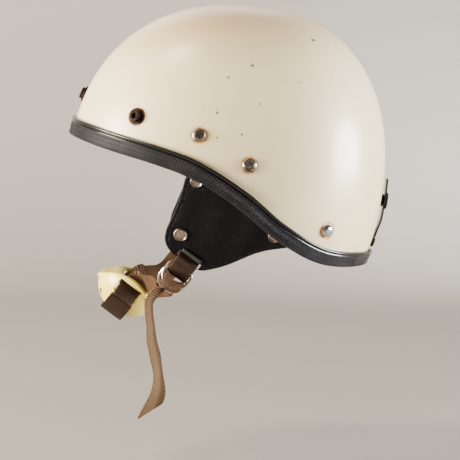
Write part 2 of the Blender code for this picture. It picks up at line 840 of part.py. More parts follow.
def make_goggle_strap(seats):
    place, axis = seats["goggle_snap_stud"]
    profile = shank_profile("goggle_snap_stud", goggle_base_radius, goggle_base_wall)
    top = fit_gap + goggle_base_wall
    profile += [(goggle_post_radius, top), (goggle_post_radius, top + goggle_post_height),
                (0, top + goggle_post_height)]
    turned("goggle_snap_stud", profile, place, axis, looks["brown_metal"])

    under = goggle_stack()
    over = under + goggle_strap_wall
    socket_low = top + fit_gap
    cap = [
        (0, over + fit_gap + goggle_cap_height),
        (goggle_cap_top_share * goggle_cap_radius, over + fit_gap + goggle_cap_height),
        (goggle_cap_radius, over + fit_gap + goggle_cap_height / 2),
        (goggle_cap_radius, over + fit_gap),
        (goggle_neck_radius, over + fit_gap),
        (goggle_neck_radius, under - fit_gap),
        (goggle_socket_radius, under - fit_gap),
        (goggle_socket_radius, socket_low),
        (goggle_socket_bore, socket_low),
        (goggle_socket_bore, top + goggle_post_height + 2 * fit_gap),
        (0, top + goggle_post_height + 2 * fit_gap),
    ]
    turned("goggle_snap_cap", cap, place, axis, looks["brown_metal"])

    low_place, low_axis = seats["goggle_strap_rivet"]
    middle = under + goggle_strap_wall / 2
    across = Vector((1, 0, 0))
    down = Vector((0, low_axis.z, -low_axis.y)).normalized()
    fall = Vector((0, axis.z, -axis.y)).normalized()
    between, between_axis = rear_seat((goggle_snap_rise + goggle_rivet_rise) / 2)
    bulge, bulge_axis = rear_seat(goggle_rivet_rise + goggle_bulge_share * goggle_clip_height)
    tip, tip_axis = rear_seat(goggle_tip_rise)
    stations = [
        (goggle_strap_foot(seats) + low_axis * goggle_strap_wall / 2, across),
        (bulge + bulge_axis * (middle + goggle_bulge), across),
        (between + between_axis * middle, across),
        (place + axis * middle + fall * goggle_cap_spread_share * goggle_cap_radius, across),
        (place + axis * middle + fall * goggle_cap_radius, across),
        (place + axis * middle, across),
        (place + axis * middle - fall * goggle_cap_radius, across),
        (tip + tip_axis * middle, across),
    ]
    strap = ribbon("goggle_strap", stations, goggle_strap_width, goggle_strap_wall,
                   looks["black_leather"], GOGGLE_STEPS)
    holes = fastener_holes([(place, axis)], goggle_neck_radius + fit_gap, 0, over + OVERRUN)
    cut(strap, joined_cutter("goggle_strap_hole", holes))

    clip_middle = low_place + low_axis * (curved_gap + goggle_clip_wall / 2)
    ends = [clip_middle + down * (goggle_clip_height * share) for share in (-0.5, 0.0, 0.5)]
    clip = ribbon("goggle_strap_clip", [(end, across) for end in ends], goggle_strap_width,
                  goggle_clip_wall, looks["brown_metal"], 2)
    holes = fastener_holes([(low_place, low_axis)], shank_radius + fit_gap, 0,
                           curved_gap + goggle_clip_wall + OVERRUN)
    cut(clip, joined_cutter("goggle_clip_hole", holes))

    head = curved_gap + fit_gap + goggle_clip_wall
    profile = [
        (0, washer_top("goggle_strap_rivet") - washer_wall - shank_tail),
        (shank_radius, washer_top("goggle_strap_rivet") - washer_wall - shank_tail),
        (shank_radius, head),
        (goggle_rivet_radius, head),
        (goggle_rivet_radius, head + goggle_rivet_height / 2),
        (head_top_share * goggle_rivet_radius, head + goggle_rivet_height),
        (0, head + goggle_rivet_height),
    ]
    turned("goggle_strap_rivet", profile, low_place, low_axis, looks["brown_metal"])


def make_flap(side, word):
    outline = [(run * harness_run, drop * harness_drop) for run, drop in flap_outline_shares]

    def place_of(run, drop, depth):
        return sided(flap_place(run, drop, depth), side)

    flap = slab(word + "_ear_flap", outline, place_of, -flap_wall, 0.0, looks["black_leather"])
    middle, drop = strap_run_share * harness_run, slot_drop_share * harness_drop
    half = strap_width / 2 + slot_margin
    box = [(middle - half, drop - slot_height / 2), (middle + half, drop - slot_height / 2),
           (middle + half, drop + slot_height / 2), (middle - half, drop + slot_height / 2)]
    slot = slab("slot", box, place_of, -flap_wall - OVERRUN, OVERRUN, looks["foam"])
    axis = sided(flap_direction(0, 0, 1), side)
    pieces = [slot]
    spots = [("cheek_button", button_run_share, button_drop_share, button_radius, button_height)]
    for name, run, drop in zip(("front_snap", "rear_snap"), snap_run_shares, snap_drop_shares):
        spots.append((name, run, drop, snap_radius, snap_height))
    for name, run, drop, radius, height in spots:
        place = place_of(run * harness_run, drop * harness_drop, 0.0)
        pieces += fastener_holes([(place, axis)], shank_radius + fit_gap, -flap_wall - OVERRUN, OVERRUN)
        back = -flap_wall - fit_gap - washer_wall
        top = fit_gap + height
        profile = [
            (0, back), (head_top_share * radius, back), (head_top_share * radius, back + washer_wall),
            (shank_radius, back + washer_wall), (shank_radius, fit_gap), (radius, fit_gap),
            (radius, fit_gap + height / 2), (snap_top_share * radius, top), (0, top),
        ]
        turned(word + "_" + name, profile, place, axis, looks["plated_steel"])
    cut(flap, joined_cutter(word + "_flap_cuts", pieces))
    make_keeper(side, word, place_of, middle)


def make_keeper(side, word, place_of, middle):
    """The stiff bar that backs the upper edge of the strap slot."""
    drop = slot_drop_share * harness_drop - slot_height / 2 - keeper_height / 2 - slot_margin / 2
    half = strap_width / 2
    box = [(middle - half, drop - keeper_height / 2), (middle + half, drop - keeper_height / 2),
           (middle + half, drop + keeper_height / 2), (middle - half, drop + keeper_height / 2)]
    keeper = slab(word + "_strap_keeper", box, place_of, fit_gap, fit_gap + keeper_wall,
                  looks["black_rubber"])
    soften(keeper, keeper_wall / 4)


def strap_station(run, drop, depth, width_share=1.0):
    place = flap_place(run * harness_run, drop * harness_drop, depth * harness_drop)
    return place, flap_direction(1, 0, 0) * width_share


def slot_station(drop, depth, width_share=1.0):
    """A station of a strap in line with the flap's slot."""
    return strap_station(strap_run_share, drop, depth, width_share)


def hidden_strap_stations():
    """From the strap rivet inside the shell down behind the flap to the slot."""
    place, axis = seat(strap_rivet_y, strap_rivet_z, 1)
    top = place - axis * (shell_wall + strap_seat_gap + strap_wall / 2)
    along = (harness_place(0, 0, 1) - harness_place(0, 0, 0)).normalized()
    across = (harness_place(0, 1, 0) - harness_place(0, 0, 0)).normalized()
    reach = washer_radius
    stations = [(top - along * reach, across), (top + along * reach, across)]
    stations.append(strap_station(*channel_strap_shares))
    return stations + [slot_station(*shares) for shares in behind_flap_shares]


def make_anchor_strap():
    stations = hidden_strap_stations()
    bar_a, bar_b = ring_bar_drop_shares
    turn = (ring_wire + fit_gap + strap_wall / 2 + loop_slack) / harness_drop
    slant = turn * math.sqrt(0.5)
    depth = ring_bar_depth_share
    loop = [
        loop_entry_shares, (bar_a, depth + turn), (bar_b, depth + turn),
        (bar_b + slant, depth + slant), (bar_b + turn, depth),
        (bar_b + slant, depth - slant), (bar_b, depth - turn), (bar_a, depth - turn),
    ]
    for shares in [*slot_stations_shares, *loop, *loop_return_shares]:
        stations.append(slot_station(*shares))
    strap = ribbon("left_anchor_strap", stations, strap_width, strap_wall, looks["brown_leather"], ANCHOR_STEPS)
    pierce_for_rivet(strap, 1)


def pierce_for_rivet(strap, side):
    """The hole for the strap rivet's shank near the strap's upper end."""
    place, axis = seat(strap_rivet_y, strap_rivet_z, side)
    low = -shell_wall - strap_seat_gap - strap_wall - OVERRUN
    holes = fastener_holes([(place, axis)], shank_radius + fit_gap, low, 0.0)
    cut(strap, joined_cutter(strap.name + "_hole", holes))


def ring_outline():
    """One D: a bar along the run, two short arms and a bow, as (run, reach) from the bar's middle."""
    half = strap_width / 2 + ring_side_play + ring_wire
    flat, corner = 1 - ring_corner_share, ring_corner_share * ring_depth
    points = [(half * share, 0.0) for share in (-flat, -flat / 2, 0.0, flat / 2, flat)]
    arm = ring_depth - half
    points += [(half, corner), (half, arm)]
    for i in range(1, ARC_STEPS):
        turn = math.pi * i / ARC_STEPS
        points.append((half * math.cos(turn), arm + (ring_depth - arm) * math.sin(turn)))
    points += [(-half, arm), (-half, corner)]
    return points


def make_ring(name, drop_share, tilt):
    """A wire ring hung on the strap's loop, turned outward about its bar."""
    outline = ring_outline()
    middle = strap_run_share * harness_run
    cosine, sine = math.cos(tilt), math.sin(tilt)
    places = []
    for run, reach in outline:
        drop = drop_share * harness_drop + reach * cosine
        depth = ring_bar_depth_share * harness_drop + reach * sine
        places.append(flap_place(middle + run, drop, depth))
    up = (flap_place(0, -sine, cosine) - flap_place(0, 0, 0)).normalized()
    count = len(places)
    sides = RING_SIDES
    rows = []
    for k, place in enumerate(places):
        forward = (places[(k + 1) % count] - places[k - 1]).normalized()
        out = forward.cross(up).normalized()
        for i in range(sides):
            turn = 2 * math.pi * i / sides
            rows.append(place + (out * math.cos(turn) + up * math.sin(turn)) * ring_wire)
    return solid(name, rows, ring_faces(count, sides, True), looks["plated_steel"])


def make_rings():
    bar_a, bar_b = ring_bar_drop_shares
    make_ring("inner_d_ring", bar_a, ring_splay_angle)
    make_ring("outer_d_ring", bar_b, ring_sink_angle)


def cup_middle():
    """The middle of the strap's arc round the cup."""
    return harness_place(0.0, cup_run_share * harness_run, cup_drop_share * harness_drop)


def cup_place(across, run, drop):
    start = harness_place(0, 0, 0)
    return cup_middle() + harness_place(across, run, drop) - start


def strap_arc_radius():
    return cup_radius + strap_cup_gap + strap_wall / 2


def arc_station(angle, radius):
    place = cup_place(radius * math.sin(angle), 0.0, radius * math.cos(angle))
    return place, (harness_place(0, 1, 0) - harness_place(0, 0, 0)).normalized()


def across_direction(x, run, drop):
    return (harness_place(x, run, drop) - harness_place(0, 0, 0)).normalized()


def cheek_stations():
    stations = []
    for (x, run, drop), across in cheek_stations_shares:
        place = harness_place(x * harness_run, run * harness_run, drop * harness_drop)
        stations.append((place, across_direction(*across)))
    return stations


def mirrored(stations):
    """The same route on the other side, the other way round."""
    return [(sided(place, -1), sided(across, -1)) for place, across in reversed(stations)]


def make_chin_strap():
    down_right = hidden_strap_stations()
    down_right += [slot_station(*shares) for shares in slot_stations_shares]
    down_right += [strap_station(*shares) for shares in right_flap_shares]
    x, run, drop = right_cheek_shares[0][0]
    down_right.append((harness_place(x * harness_run, run * harness_run, drop * harness_drop),
                       across_direction(*right_cheek_shares[0][1])))
    right = mirrored([*cheek_stations(), *reversed(down_right)])
    radius = strap_arc_radius()
    angles = [arc_reach * (2 * i / ARC_STEPS - 1) for i in range(ARC_STEPS + 1)]
    arc = [arc_station(angle, radius) for angle in angles]
    left = cheek_stations()
    left += [slot_station(*shares, bunched_share) for shares in buckle_stations_shares]
    stations = right + arc + left
    steps = STRAP_STEPS * (len(stations) - 1)
    strap = ribbon("chin_strap", stations, strap_width, strap_wall, looks["webbing"], steps)
    pierce_for_rivet(strap, -1)


def make_sleeve():
    """A flat leather sleeve round the webbing under the cup."""
    radius = strap_arc_radius()
    steps = SLEEVE_STEPS
    half_width = strap_width / 2 + fit_gap
    half_wall = strap_wall / 2 + fit_gap
    rows = []
    for k in range(steps + 1):
        angle = sleeve_half_angle * (2 * k / steps - 1)
        place, across = arc_station(angle, radius)
        out = (arc_station(angle, 2 * radius)[0] - place).normalized()
        for grown in (0.0, sleeve_wall):
            for w, t in ((-1, -1), (1, -1), (1, 1), (-1, 1)):
                thick = half_wall + (grown if t > 0 else grown / 3)
                rows.append(place + across * (w * (half_width + grown)) + out * (t * thick))
    faces = []
    for k in range(steps):
        for start in (0, 4):
            for i in range(4):
                a, b = 8 * k + start + i, 8 * k + start + (i + 1) % 4
                faces.append((a, b, b + 8, a + 8))
    for base in (0, 8 * steps):
        for i in range(4):
            j = (i + 1) % 4
            faces.append((base + i, base + j, base + 4 + j, base + 4 + i))
    return solid("cup_sleeve", rows, faces, looks["brown_leather"])


def cup_surface(turn, deep, grown):
    """A place on the cup's bowl. turn goes round the rim and deep is 0 at the bottom, 1 at the rim."""
    rim_drop_share = cup_saddle / cup_radius * math.sin(turn) ** 2
    top = math.acos(min(max(rim_drop_share, 0.0), 0.9))
    tilt = deep * top
    x = math.cos(turn) * math.sin(tilt)
    out = abs(math.sin(tilt)) ** (2 / cup_power)
    run = math.sin(turn) * (out if abs(math.sin(turn)) > 0.01 else 0.0)
    drop = math.cos(tilt)
    return cup_place(x * (cup_radius + grown), run * (cup_half_length + grown), drop * (cup_radius + grown))


def bowl(name, layers, reach, flare, sides, rows, look):
    """A bowl between two layers of the cup, out to a share of its depth, flared at the outer rim."""
    points, faces = [], []
    for layer, grown in enumerate(layers):
        start = len(points)
        points.append(cup_surface(0.0, 0.0, grown))
        for row in range(1, rows + 1):
            lip = flare if row == rows and layer == 0 else 0.0
            for i in range(sides):
                points.append(cup_surface(2 * math.pi * i / sides, reach * row / rows, grown + lip))
        for i in range(sides):
            faces.append((start, start + 1 + i, start + 1 + (i + 1) % sides))
        faces += [tuple(start + 1 + k for k in f) for f in ring_faces(rows, sides)]
    outer = 1 + (rows - 1) * sides
    inner = outer + rows * sides + 1
    for i in range(sides):
        j = (i + 1) % sides
        faces.append((outer + i, outer + j, inner + j, inner + i))
    return solid(name, points, faces, look)


def vent_cutter(side):
    """A short upright vent in the front of the cup, on one side."""
    turn = -math.pi / 2 + side * (math.pi / 2 - vent_turn_angle)

    def place_of(across, along, out):
        return cup_surface(turn + across / cup_half_length, vent_deep_share + along / cup_radius, out)

    half, reach = vent_width / 2, vent_length / 2
    box = [(-half, -reach), (half, -reach), (half, reach), (-half, reach)]
    return slab("vent", box, place_of, -2 * cup_wall, cup_wall, looks["foam"])


def make_cup():
    layers = (0.0, -cup_wall)
    cup = bowl("chin_cup", layers, 1.0, cup_bead, CUP_SIDES, CUP_ROWS, looks["cup_plastic"])
    pieces = []
    for side in (1, -1):
        half = strap_width / 2 + slot_margin

        def place_of(run, along, out):
            radius = cup_radius + out
            angle = slot_angle + along / cup_radius
            return cup_place(side * radius * math.sin(angle), run, radius * math.cos(angle))

        box = [(-half, -slot_length / 2), (half, -slot_length / 2),
               (half, slot_length / 2), (-half, slot_length / 2)]
        pieces.append(slab("slot", box, place_of, -2 * cup_wall, cup_wall, looks["foam"]))
        pieces.append(vent_cutter(side))
    cut(cup, joined_cutter("cup_openings", pieces))
    return cup


def make_cup_pad():
    """A soft pad in the bottom of the cup, clear of the two slots."""
    layers = (-cup_wall - fit_gap, -cup_wall - fit_gap - cup_pad_wall)
    bowl("chin_cup_pad", layers, pad_reach_share, 0.0, CUP_PAD_SIDES, CUP_PAD_ROWS, looks["lining"])


def make_tail():
    stations = []
    for (inward, run, drop), across in tail_stations_shares:
        x = flap_face() - inward * harness_run
        place = harness_place(x, run * harness_run, drop * harness_drop)
        stations.append((place, across_direction(*across)))
    slant = tail_slant_share * strap_width
    ribbon("strap_tail", stations, strap_width, strap_wall, looks["webbing"], TAIL_STEPS, slant)


def main():
    seats = shell_seats()
    make_shell(seats)
    make_trim()
    make_liner(seats)
    make_linings()
    make_shell_fasteners(seats)
    make_goggle_strap(seats)
    for side, word in ((1, "left"), (-1, "right")):
        make_flap(side, word)
    make_anchor_strap()
    make_rings()
    make_chin_strap()
    make_sleeve()
    make_cup()
    make_cup_pad()
    make_tail()


clear_scene()
looks = make_materials()
main()
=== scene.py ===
import math
import bpy
from functools import reduce
from itertools import accumulate
from mathutils import Matrix, Vector


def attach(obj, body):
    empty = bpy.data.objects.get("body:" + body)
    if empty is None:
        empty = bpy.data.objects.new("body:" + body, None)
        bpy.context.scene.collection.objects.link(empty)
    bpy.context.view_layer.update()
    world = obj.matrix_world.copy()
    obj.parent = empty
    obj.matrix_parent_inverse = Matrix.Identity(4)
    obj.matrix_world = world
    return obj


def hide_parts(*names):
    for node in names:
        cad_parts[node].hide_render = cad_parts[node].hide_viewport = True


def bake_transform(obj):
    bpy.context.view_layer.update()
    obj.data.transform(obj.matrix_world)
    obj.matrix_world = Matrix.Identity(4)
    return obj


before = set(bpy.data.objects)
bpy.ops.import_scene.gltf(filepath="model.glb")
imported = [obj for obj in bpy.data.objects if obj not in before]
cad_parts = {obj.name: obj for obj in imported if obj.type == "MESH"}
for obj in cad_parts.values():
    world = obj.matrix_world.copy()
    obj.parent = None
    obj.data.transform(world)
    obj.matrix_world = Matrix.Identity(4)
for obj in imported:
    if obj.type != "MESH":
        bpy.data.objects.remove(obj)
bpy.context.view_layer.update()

# Looks of a half-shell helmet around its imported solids. Metres, the front faces -Y.
print("frame loaded:", len(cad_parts), "solids")

# The dome, the rim and the harness, as in the part's source
dome = dict(halfWidth=0.115, frontReach=0.1548, rearReach=0.1270, crown=0.1539, lower=0.1422,
            middleY=0.0086, middleZ=-0.0431, tilt=0.158, planPower=2.15, sidePower=2.25, wall=0.0040)
rim = dict(frontY=-0.1450, frontZ=0.0006, length=0.2730, drop=0.1171,
           along=(0.0, 0.13, 0.31, 0.42, 0.555, 0.68, 0.815, 1.0),
           down=(0.0, 0.0905, 0.2092, 0.3083, 0.5124, 0.7558, 0.9368, 1.0))
harness = dict(y=-0.0288, z=-0.0413, lean=0.6435, reach=0.1, flapYaw=0.090, flapLean=0.349,
               flapFace=0.1007)


def smoothBetween(places, values, at):
    last = len(places) - 1
    at = min(max(at, places[0]), places[-1])
    i = max(k for k in range(last) if places[k] <= at)

    def slope(k):
        low, high = max(k - 1, 0), min(k + 1, last)
        return (values[high] - values[low]) / (places[high] - places[low])

    step = places[i + 1] - places[i]
    s = (at - places[i]) / step
    rise = values[i + 1] - values[i]
    cubic = (slope(i) + slope(i + 1)) * step - 2 * rise
    square = 3 * rise - (2 * slope(i) + slope(i + 1)) * step
    return values[i] + s * (slope(i) * step + s * (square + s * cubic))


def signedPower(value, power):
    return math.copysign(abs(value) ** power, value)


def domePoint(around, down, offset=0.0):  # around 0 is the left side, down 0 the crown
    d = dome
    reach = d["rearReach"] if math.sin(around) >= 0 else d["frontReach"]
    height = d["crown"] if math.cos(down) >= 0 else d["lower"]
    plan, side = 2 / d["planPower"], 2 / d["sidePower"]
    out = abs(math.sin(down)) ** side
    x = signedPower(math.cos(around), plan) * out
    u = signedPower(math.sin(around), plan) * out
    w = signedPower(math.cos(down), side)
    flat = (abs(x) ** d["planPower"] + abs(u) ** d["planPower"]) ** (1 / d["planPower"])
    fade = flat ** (d["sidePower"] - d["planPower"]) if flat > 0 else 0.0
    normal = Vector((fade * signedPower(x, d["planPower"] - 1) / d["halfWidth"],
                     fade * signedPower(u, d["planPower"] - 1) / reach,
                     signedPower(w, d["sidePower"] - 1) / height)).normalized()
    place = Vector((x * d["halfWidth"], u * reach, w * height)) + normal * offset
    cosine, sine = math.cos(d["tilt"]), math.sin(d["tilt"])
    return Vector((place.x, d["middleY"] + place.y * cosine + place.z * sine,
                   d["middleZ"] - place.y * sine + place.z * cosine))


def domeNormal(around, down):
    return (domePoint(around, down, 0.004) - domePoint(around, down)).normalized()


def rimHeight(y):
    share = (y - rim["frontY"]) / rim["length"]
    return rim["frontZ"] - rim["drop"] * smoothBetween(rim["along"], rim["down"], share)


def halve(low, high, isPast, turns=32):
    for _ in range(turns):
        middle = (low + high) / 2
        if isPast(middle):
            high = middle
        else:
            low = middle
    return (low + high) / 2


rimKnown = {}


def rimDown(around):
    key = round(around, 9)
    if key not in rimKnown:
        def below(down):
            place = domePoint(around, down)
            return place.z < rimHeight(place.y)
        rimKnown[key] = halve(0.4, 0.95 * math.pi, below)
    return rimKnown[key]


def risenDown(around, rise):  # the dome angle at a distance above the rim, square to it
    low = rimDown(around)
    if abs(rise) < 1e-9:
        return low
    here = domePoint(around, low)
    along = domePoint(around + 0.01, rimDown(around + 0.01)) - here
    up = domePoint(around, low - 0.01) - here
    slant = along.normalized().cross(up.normalized()).length
    turn = halve(0.0, 1.2, lambda t: (domePoint(around, low - t) - here).length * slant > abs(rise), 24)
    return low - turn if rise > 0 else low + turn


def seatOn(y, z, side):
    if side == 0:
        around = math.pi / 2 if y > 0 else -math.pi / 2
        down = halve(0.3, 2.6, lambda a: domePoint(around, a).z < z)
    else:
        around, down = 0.0, math.pi / 2
        for _ in range(60):
            place = domePoint(around, down)
            around += (y - place.y) / dome["frontReach"]
            down -= (z - place.z) / dome["crown"]
    place, normal = domePoint(around, down), domeNormal(around, down)
    place.x *= side
    normal.x *= side
    return place, normal.normalized()


def rearSeat(rise):  # in the middle of the back, this far above the rim
    return seatOn(dome["rearReach"], domePoint(math.pi / 2, rimDown(math.pi / 2)).z + rise, 0)


def harnessPlace(x, run, drop):
    cosine, sine = math.cos(harness["lean"]), math.sin(harness["lean"])
    return Vector((x, harness["y"] + run * cosine - drop * sine, harness["z"] - run * sine - drop * cosine))


def harnessWay(x, run, drop):
    return (harnessPlace(x, run, drop) - harnessPlace(0, 0, 0)).normalized()


def flapPlace(run, drop, depth):
    yaw, lean = harness["flapYaw"], harness["flapLean"]
    rearward = Vector((-math.sin(yaw), math.cos(yaw), 0))
    outward = Vector((math.cos(lean) * rearward.y, -math.cos(lean) * rearward.x, math.sin(lean)))
    place = Vector((harness["flapFace"], 0, 0)) + rearward * run + outward.cross(rearward) * drop + outward * depth
    return harnessPlace(*place)


def flapWay(run, drop, depth):
    return (flapPlace(run, drop, depth) - flapPlace(0, 0, 0)).normalized()


def sided(vector, side):
    return Vector((vector.x * side, vector.y, vector.z))


# Modelling helpers

def dropSelection():
    if bpy.context.mode != "OBJECT":
        bpy.ops.object.mode_set(mode="OBJECT")
    bpy.ops.object.select_all(action="DESELECT")


def take(*objects):  # selects these alone, the last one active
    dropSelection()
    for piece in objects:
        piece.select_set(True)
    bpy.context.view_layer.objects.active = objects[-1]


def editAll(piece):
    take(piece)
    bpy.ops.object.mode_set(mode="EDIT")
    bpy.ops.mesh.select_all(action="SELECT")


def applyModifiers(piece):
    take(piece)
    for name in [m.name for m in piece.modifiers]:
        bpy.ops.object.modifier_apply(modifier=name)


def shadeSmooth(piece, angle=40):
    take(piece)
    bpy.ops.object.shade_smooth_by_angle(angle=math.radians(angle))


def sew(piece, within=1e-6):  # merges doubles, closes open ends and points faces outward
    editAll(piece)
    bpy.ops.mesh.remove_doubles(threshold=within)
    bpy.ops.mesh.select_all(action="DESELECT")
    bpy.ops.mesh.select_non_manifold(extend=False, use_wire=False, use_multi_face=False,
                                     use_non_contiguous=False, use_verts=False)
    bpy.ops.mesh.fill_holes(sides=0)
    bpy.ops.mesh.select_all(action="SELECT")
    bpy.ops.mesh.normals_make_consistent(inside=False)
    bpy.ops.object.mode_set(mode="OBJECT")


def formedGrid(name, columns, rows, placeOf, size=(1.0, 1.0), smooth=40, closed=True):
    # a grid laid over a surface: placeOf takes shares along and across; size is its UV in centimetres
    dropSelection()
    bpy.ops.mesh.primitive_grid_add(x_subdivisions=columns, y_subdivisions=rows, size=1.0)
    piece = bpy.context.object
    piece.name = piece.data.name = name
    for vertex in piece.data.vertices:
        i, j = round((vertex.co.x + 0.5) * columns), round((vertex.co.y + 0.5) * rows)
        vertex.co = placeOf(i / columns, j / rows)
    for corner in piece.data.uv_layers.active.data:
        corner.uv = (corner.uv[0] * size[0], corner.uv[1] * size[1])
    if closed:
        sew(piece)
    if smooth:
        shadeSmooth(piece, smooth)
    return piece


def joined(name, *pieces):
    take(*pieces)
    bpy.ops.object.join()
    piece = bpy.context.object
    piece.name = piece.data.name = name
    return piece


def atFrame(piece, matrix):
    piece.matrix_world = matrix
    take(piece)
    bpy.ops.object.transform_apply(location=True, rotation=True, scale=True)
    return piece


def frameOn(place, axis):
    return Matrix.Translation(place) @ axis.to_track_quat("Z", "Y").to_matrix().to_4x4()


def lathe(name, profile, sides=64, smooth=35):
    # a disc carried up a profile of (radius, height) in millimetres by extruding and scaling
    dropSelection()
    radius, height = profile[0]
    bpy.ops.mesh.primitive_circle_add(vertices=sides, radius=radius / 1000, fill_type="NGON",
                                      location=(0, 0, height / 1000))
    piece = bpy.context.object
    piece.name = piece.data.name = name
    bpy.ops.object.transform_apply(location=True)
    editAll(piece)
    for nextRadius, nextHeight in profile[1:]:
        bpy.ops.mesh.extrude_region_move(TRANSFORM_OT_translate={"value": (0, 0, (nextHeight - height) / 1000)})
        grow = nextRadius / radius
        bpy.ops.transform.resize(value=(grow, grow, 1), center_override=(0, 0, nextHeight / 1000))
        radius, height = nextRadius, nextHeight
    bpy.ops.mesh.select_all(action="SELECT")
    bpy.ops.mesh.normals_make_consistent(inside=False)
    bpy.ops.object.mode_set(mode="OBJECT")
    shadeSmooth(piece, smooth)
    return piece


def carve(piece, cutter):
    modifier = piece.modifiers.new("carve", "BOOLEAN")
    modifier.operation = "DIFFERENCE"
    modifier.solver = "EXACT"
    modifier.object = cutter
    applyModifiers(piece)
    bpy.data.objects.remove(cutter, do_unlink=True)
    return piece


def copyOf(piece, name, matrix):
    made = piece.copy()
    made.data = piece.data.copy()
    made.name = made.data.name = name
    bpy.context.scene.collection.objects.link(made)
    return atFrame(made, matrix)


def finished(piece, look, body, slot, *stoodFor):
    piece.data.materials.clear()
    piece.data.materials.append(look)
    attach(piece, body)
    if stoodFor:
        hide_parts(*stoodFor)
    return piece


def removed(piece):
    bpy.data.objects.remove(piece, do_unlink=True)


def bentBlock(name, placeOf, cuts=0, size=(1, 1, 1), bevel=0.0):
    # a cube with its edges rounded, bent into place by placeOf
    dropSelection()
    bpy.ops.mesh.primitive_cube_add(size=1)
    block = bpy.context.object
    block.name = block.data.name = name
    block.scale = size
    bpy.ops.object.transform_apply(scale=True)
    editAll(block)
    if cuts:
        bpy.ops.mesh.subdivide(number_cuts=cuts)
    if bevel:
        bpy.ops.mesh.bevel(offset=bevel, segments=3)
    bpy.ops.object.mode_set(mode="OBJECT")
    for vertex in block.data.vertices:
        vertex.co = placeOf(*vertex.co)
    editAll(block)
    bpy.ops.mesh.normals_make_consistent(inside=False)
    dropSelection()
    return block


def ringGrid(name, rings, size=(1.0, 1.0), smooth=40):
    # a closed surface over rings of places; its first ring is given again where it closes on itself
    columns, count = len(rings) - 1, len(rings[0])
    return formedGrid(name, columns, count, lambda s, t: rings[round(s * columns)][round(t * count) % count],
                      size, smooth)


def lengthsAlong(places):  # the distance from the first place to each
    return list(accumulate(((b - a).length for a, b in zip(places, places[1:])), initial=0.0))


def turnOf(share):  # an angle round a closed grid
    return 2 * math.pi * (share % 1.0)


# Shader maths on sockets

class Wire:
    def __init__(self, look, socket):
        self.look, self.socket = look, socket

    def math(self, operation, *others):
        return self.look.add("ShaderNodeMath", {"operation": operation}, dict(enumerate(others)))

    def __abs__(self):
        return self.math("ABSOLUTE", self)

    def sine(self):
        return self.math("SINE", self)

    def floor(self):
        return self.math("FLOOR", self)

    def fraction(self):
        return self.math("FRACT", self)

    def above(self, low, high):  # 0 below low, 1 above high, smooth between
        return self.look.add("ShaderNodeMapRange", {"interpolation_type": "SMOOTHSTEP"},
                             {"Value": self, "From Min": low, "From Max": high}, "Result")

    def below(self, low, high):
        return 1 - self.above(low, high)


def wireMath(operation, swapped=False):
    if swapped:
        return lambda wire, other: wire.math(operation, other, wire)
    return lambda wire, other: wire.math(operation, wire, other)


for sign, operation in dict(add="ADD", sub="SUBTRACT", mul="MULTIPLY", truediv="DIVIDE", pow="POWER",
                            mod="FLOORED_MODULO").items():
    setattr(Wire, f"__{sign}__", wireMath(operation))
    setattr(Wire, f"__r{sign}__", wireMath(operation, True))
Wire.most, Wire.least = wireMath("MAXIMUM"), wireMath("MINIMUM")


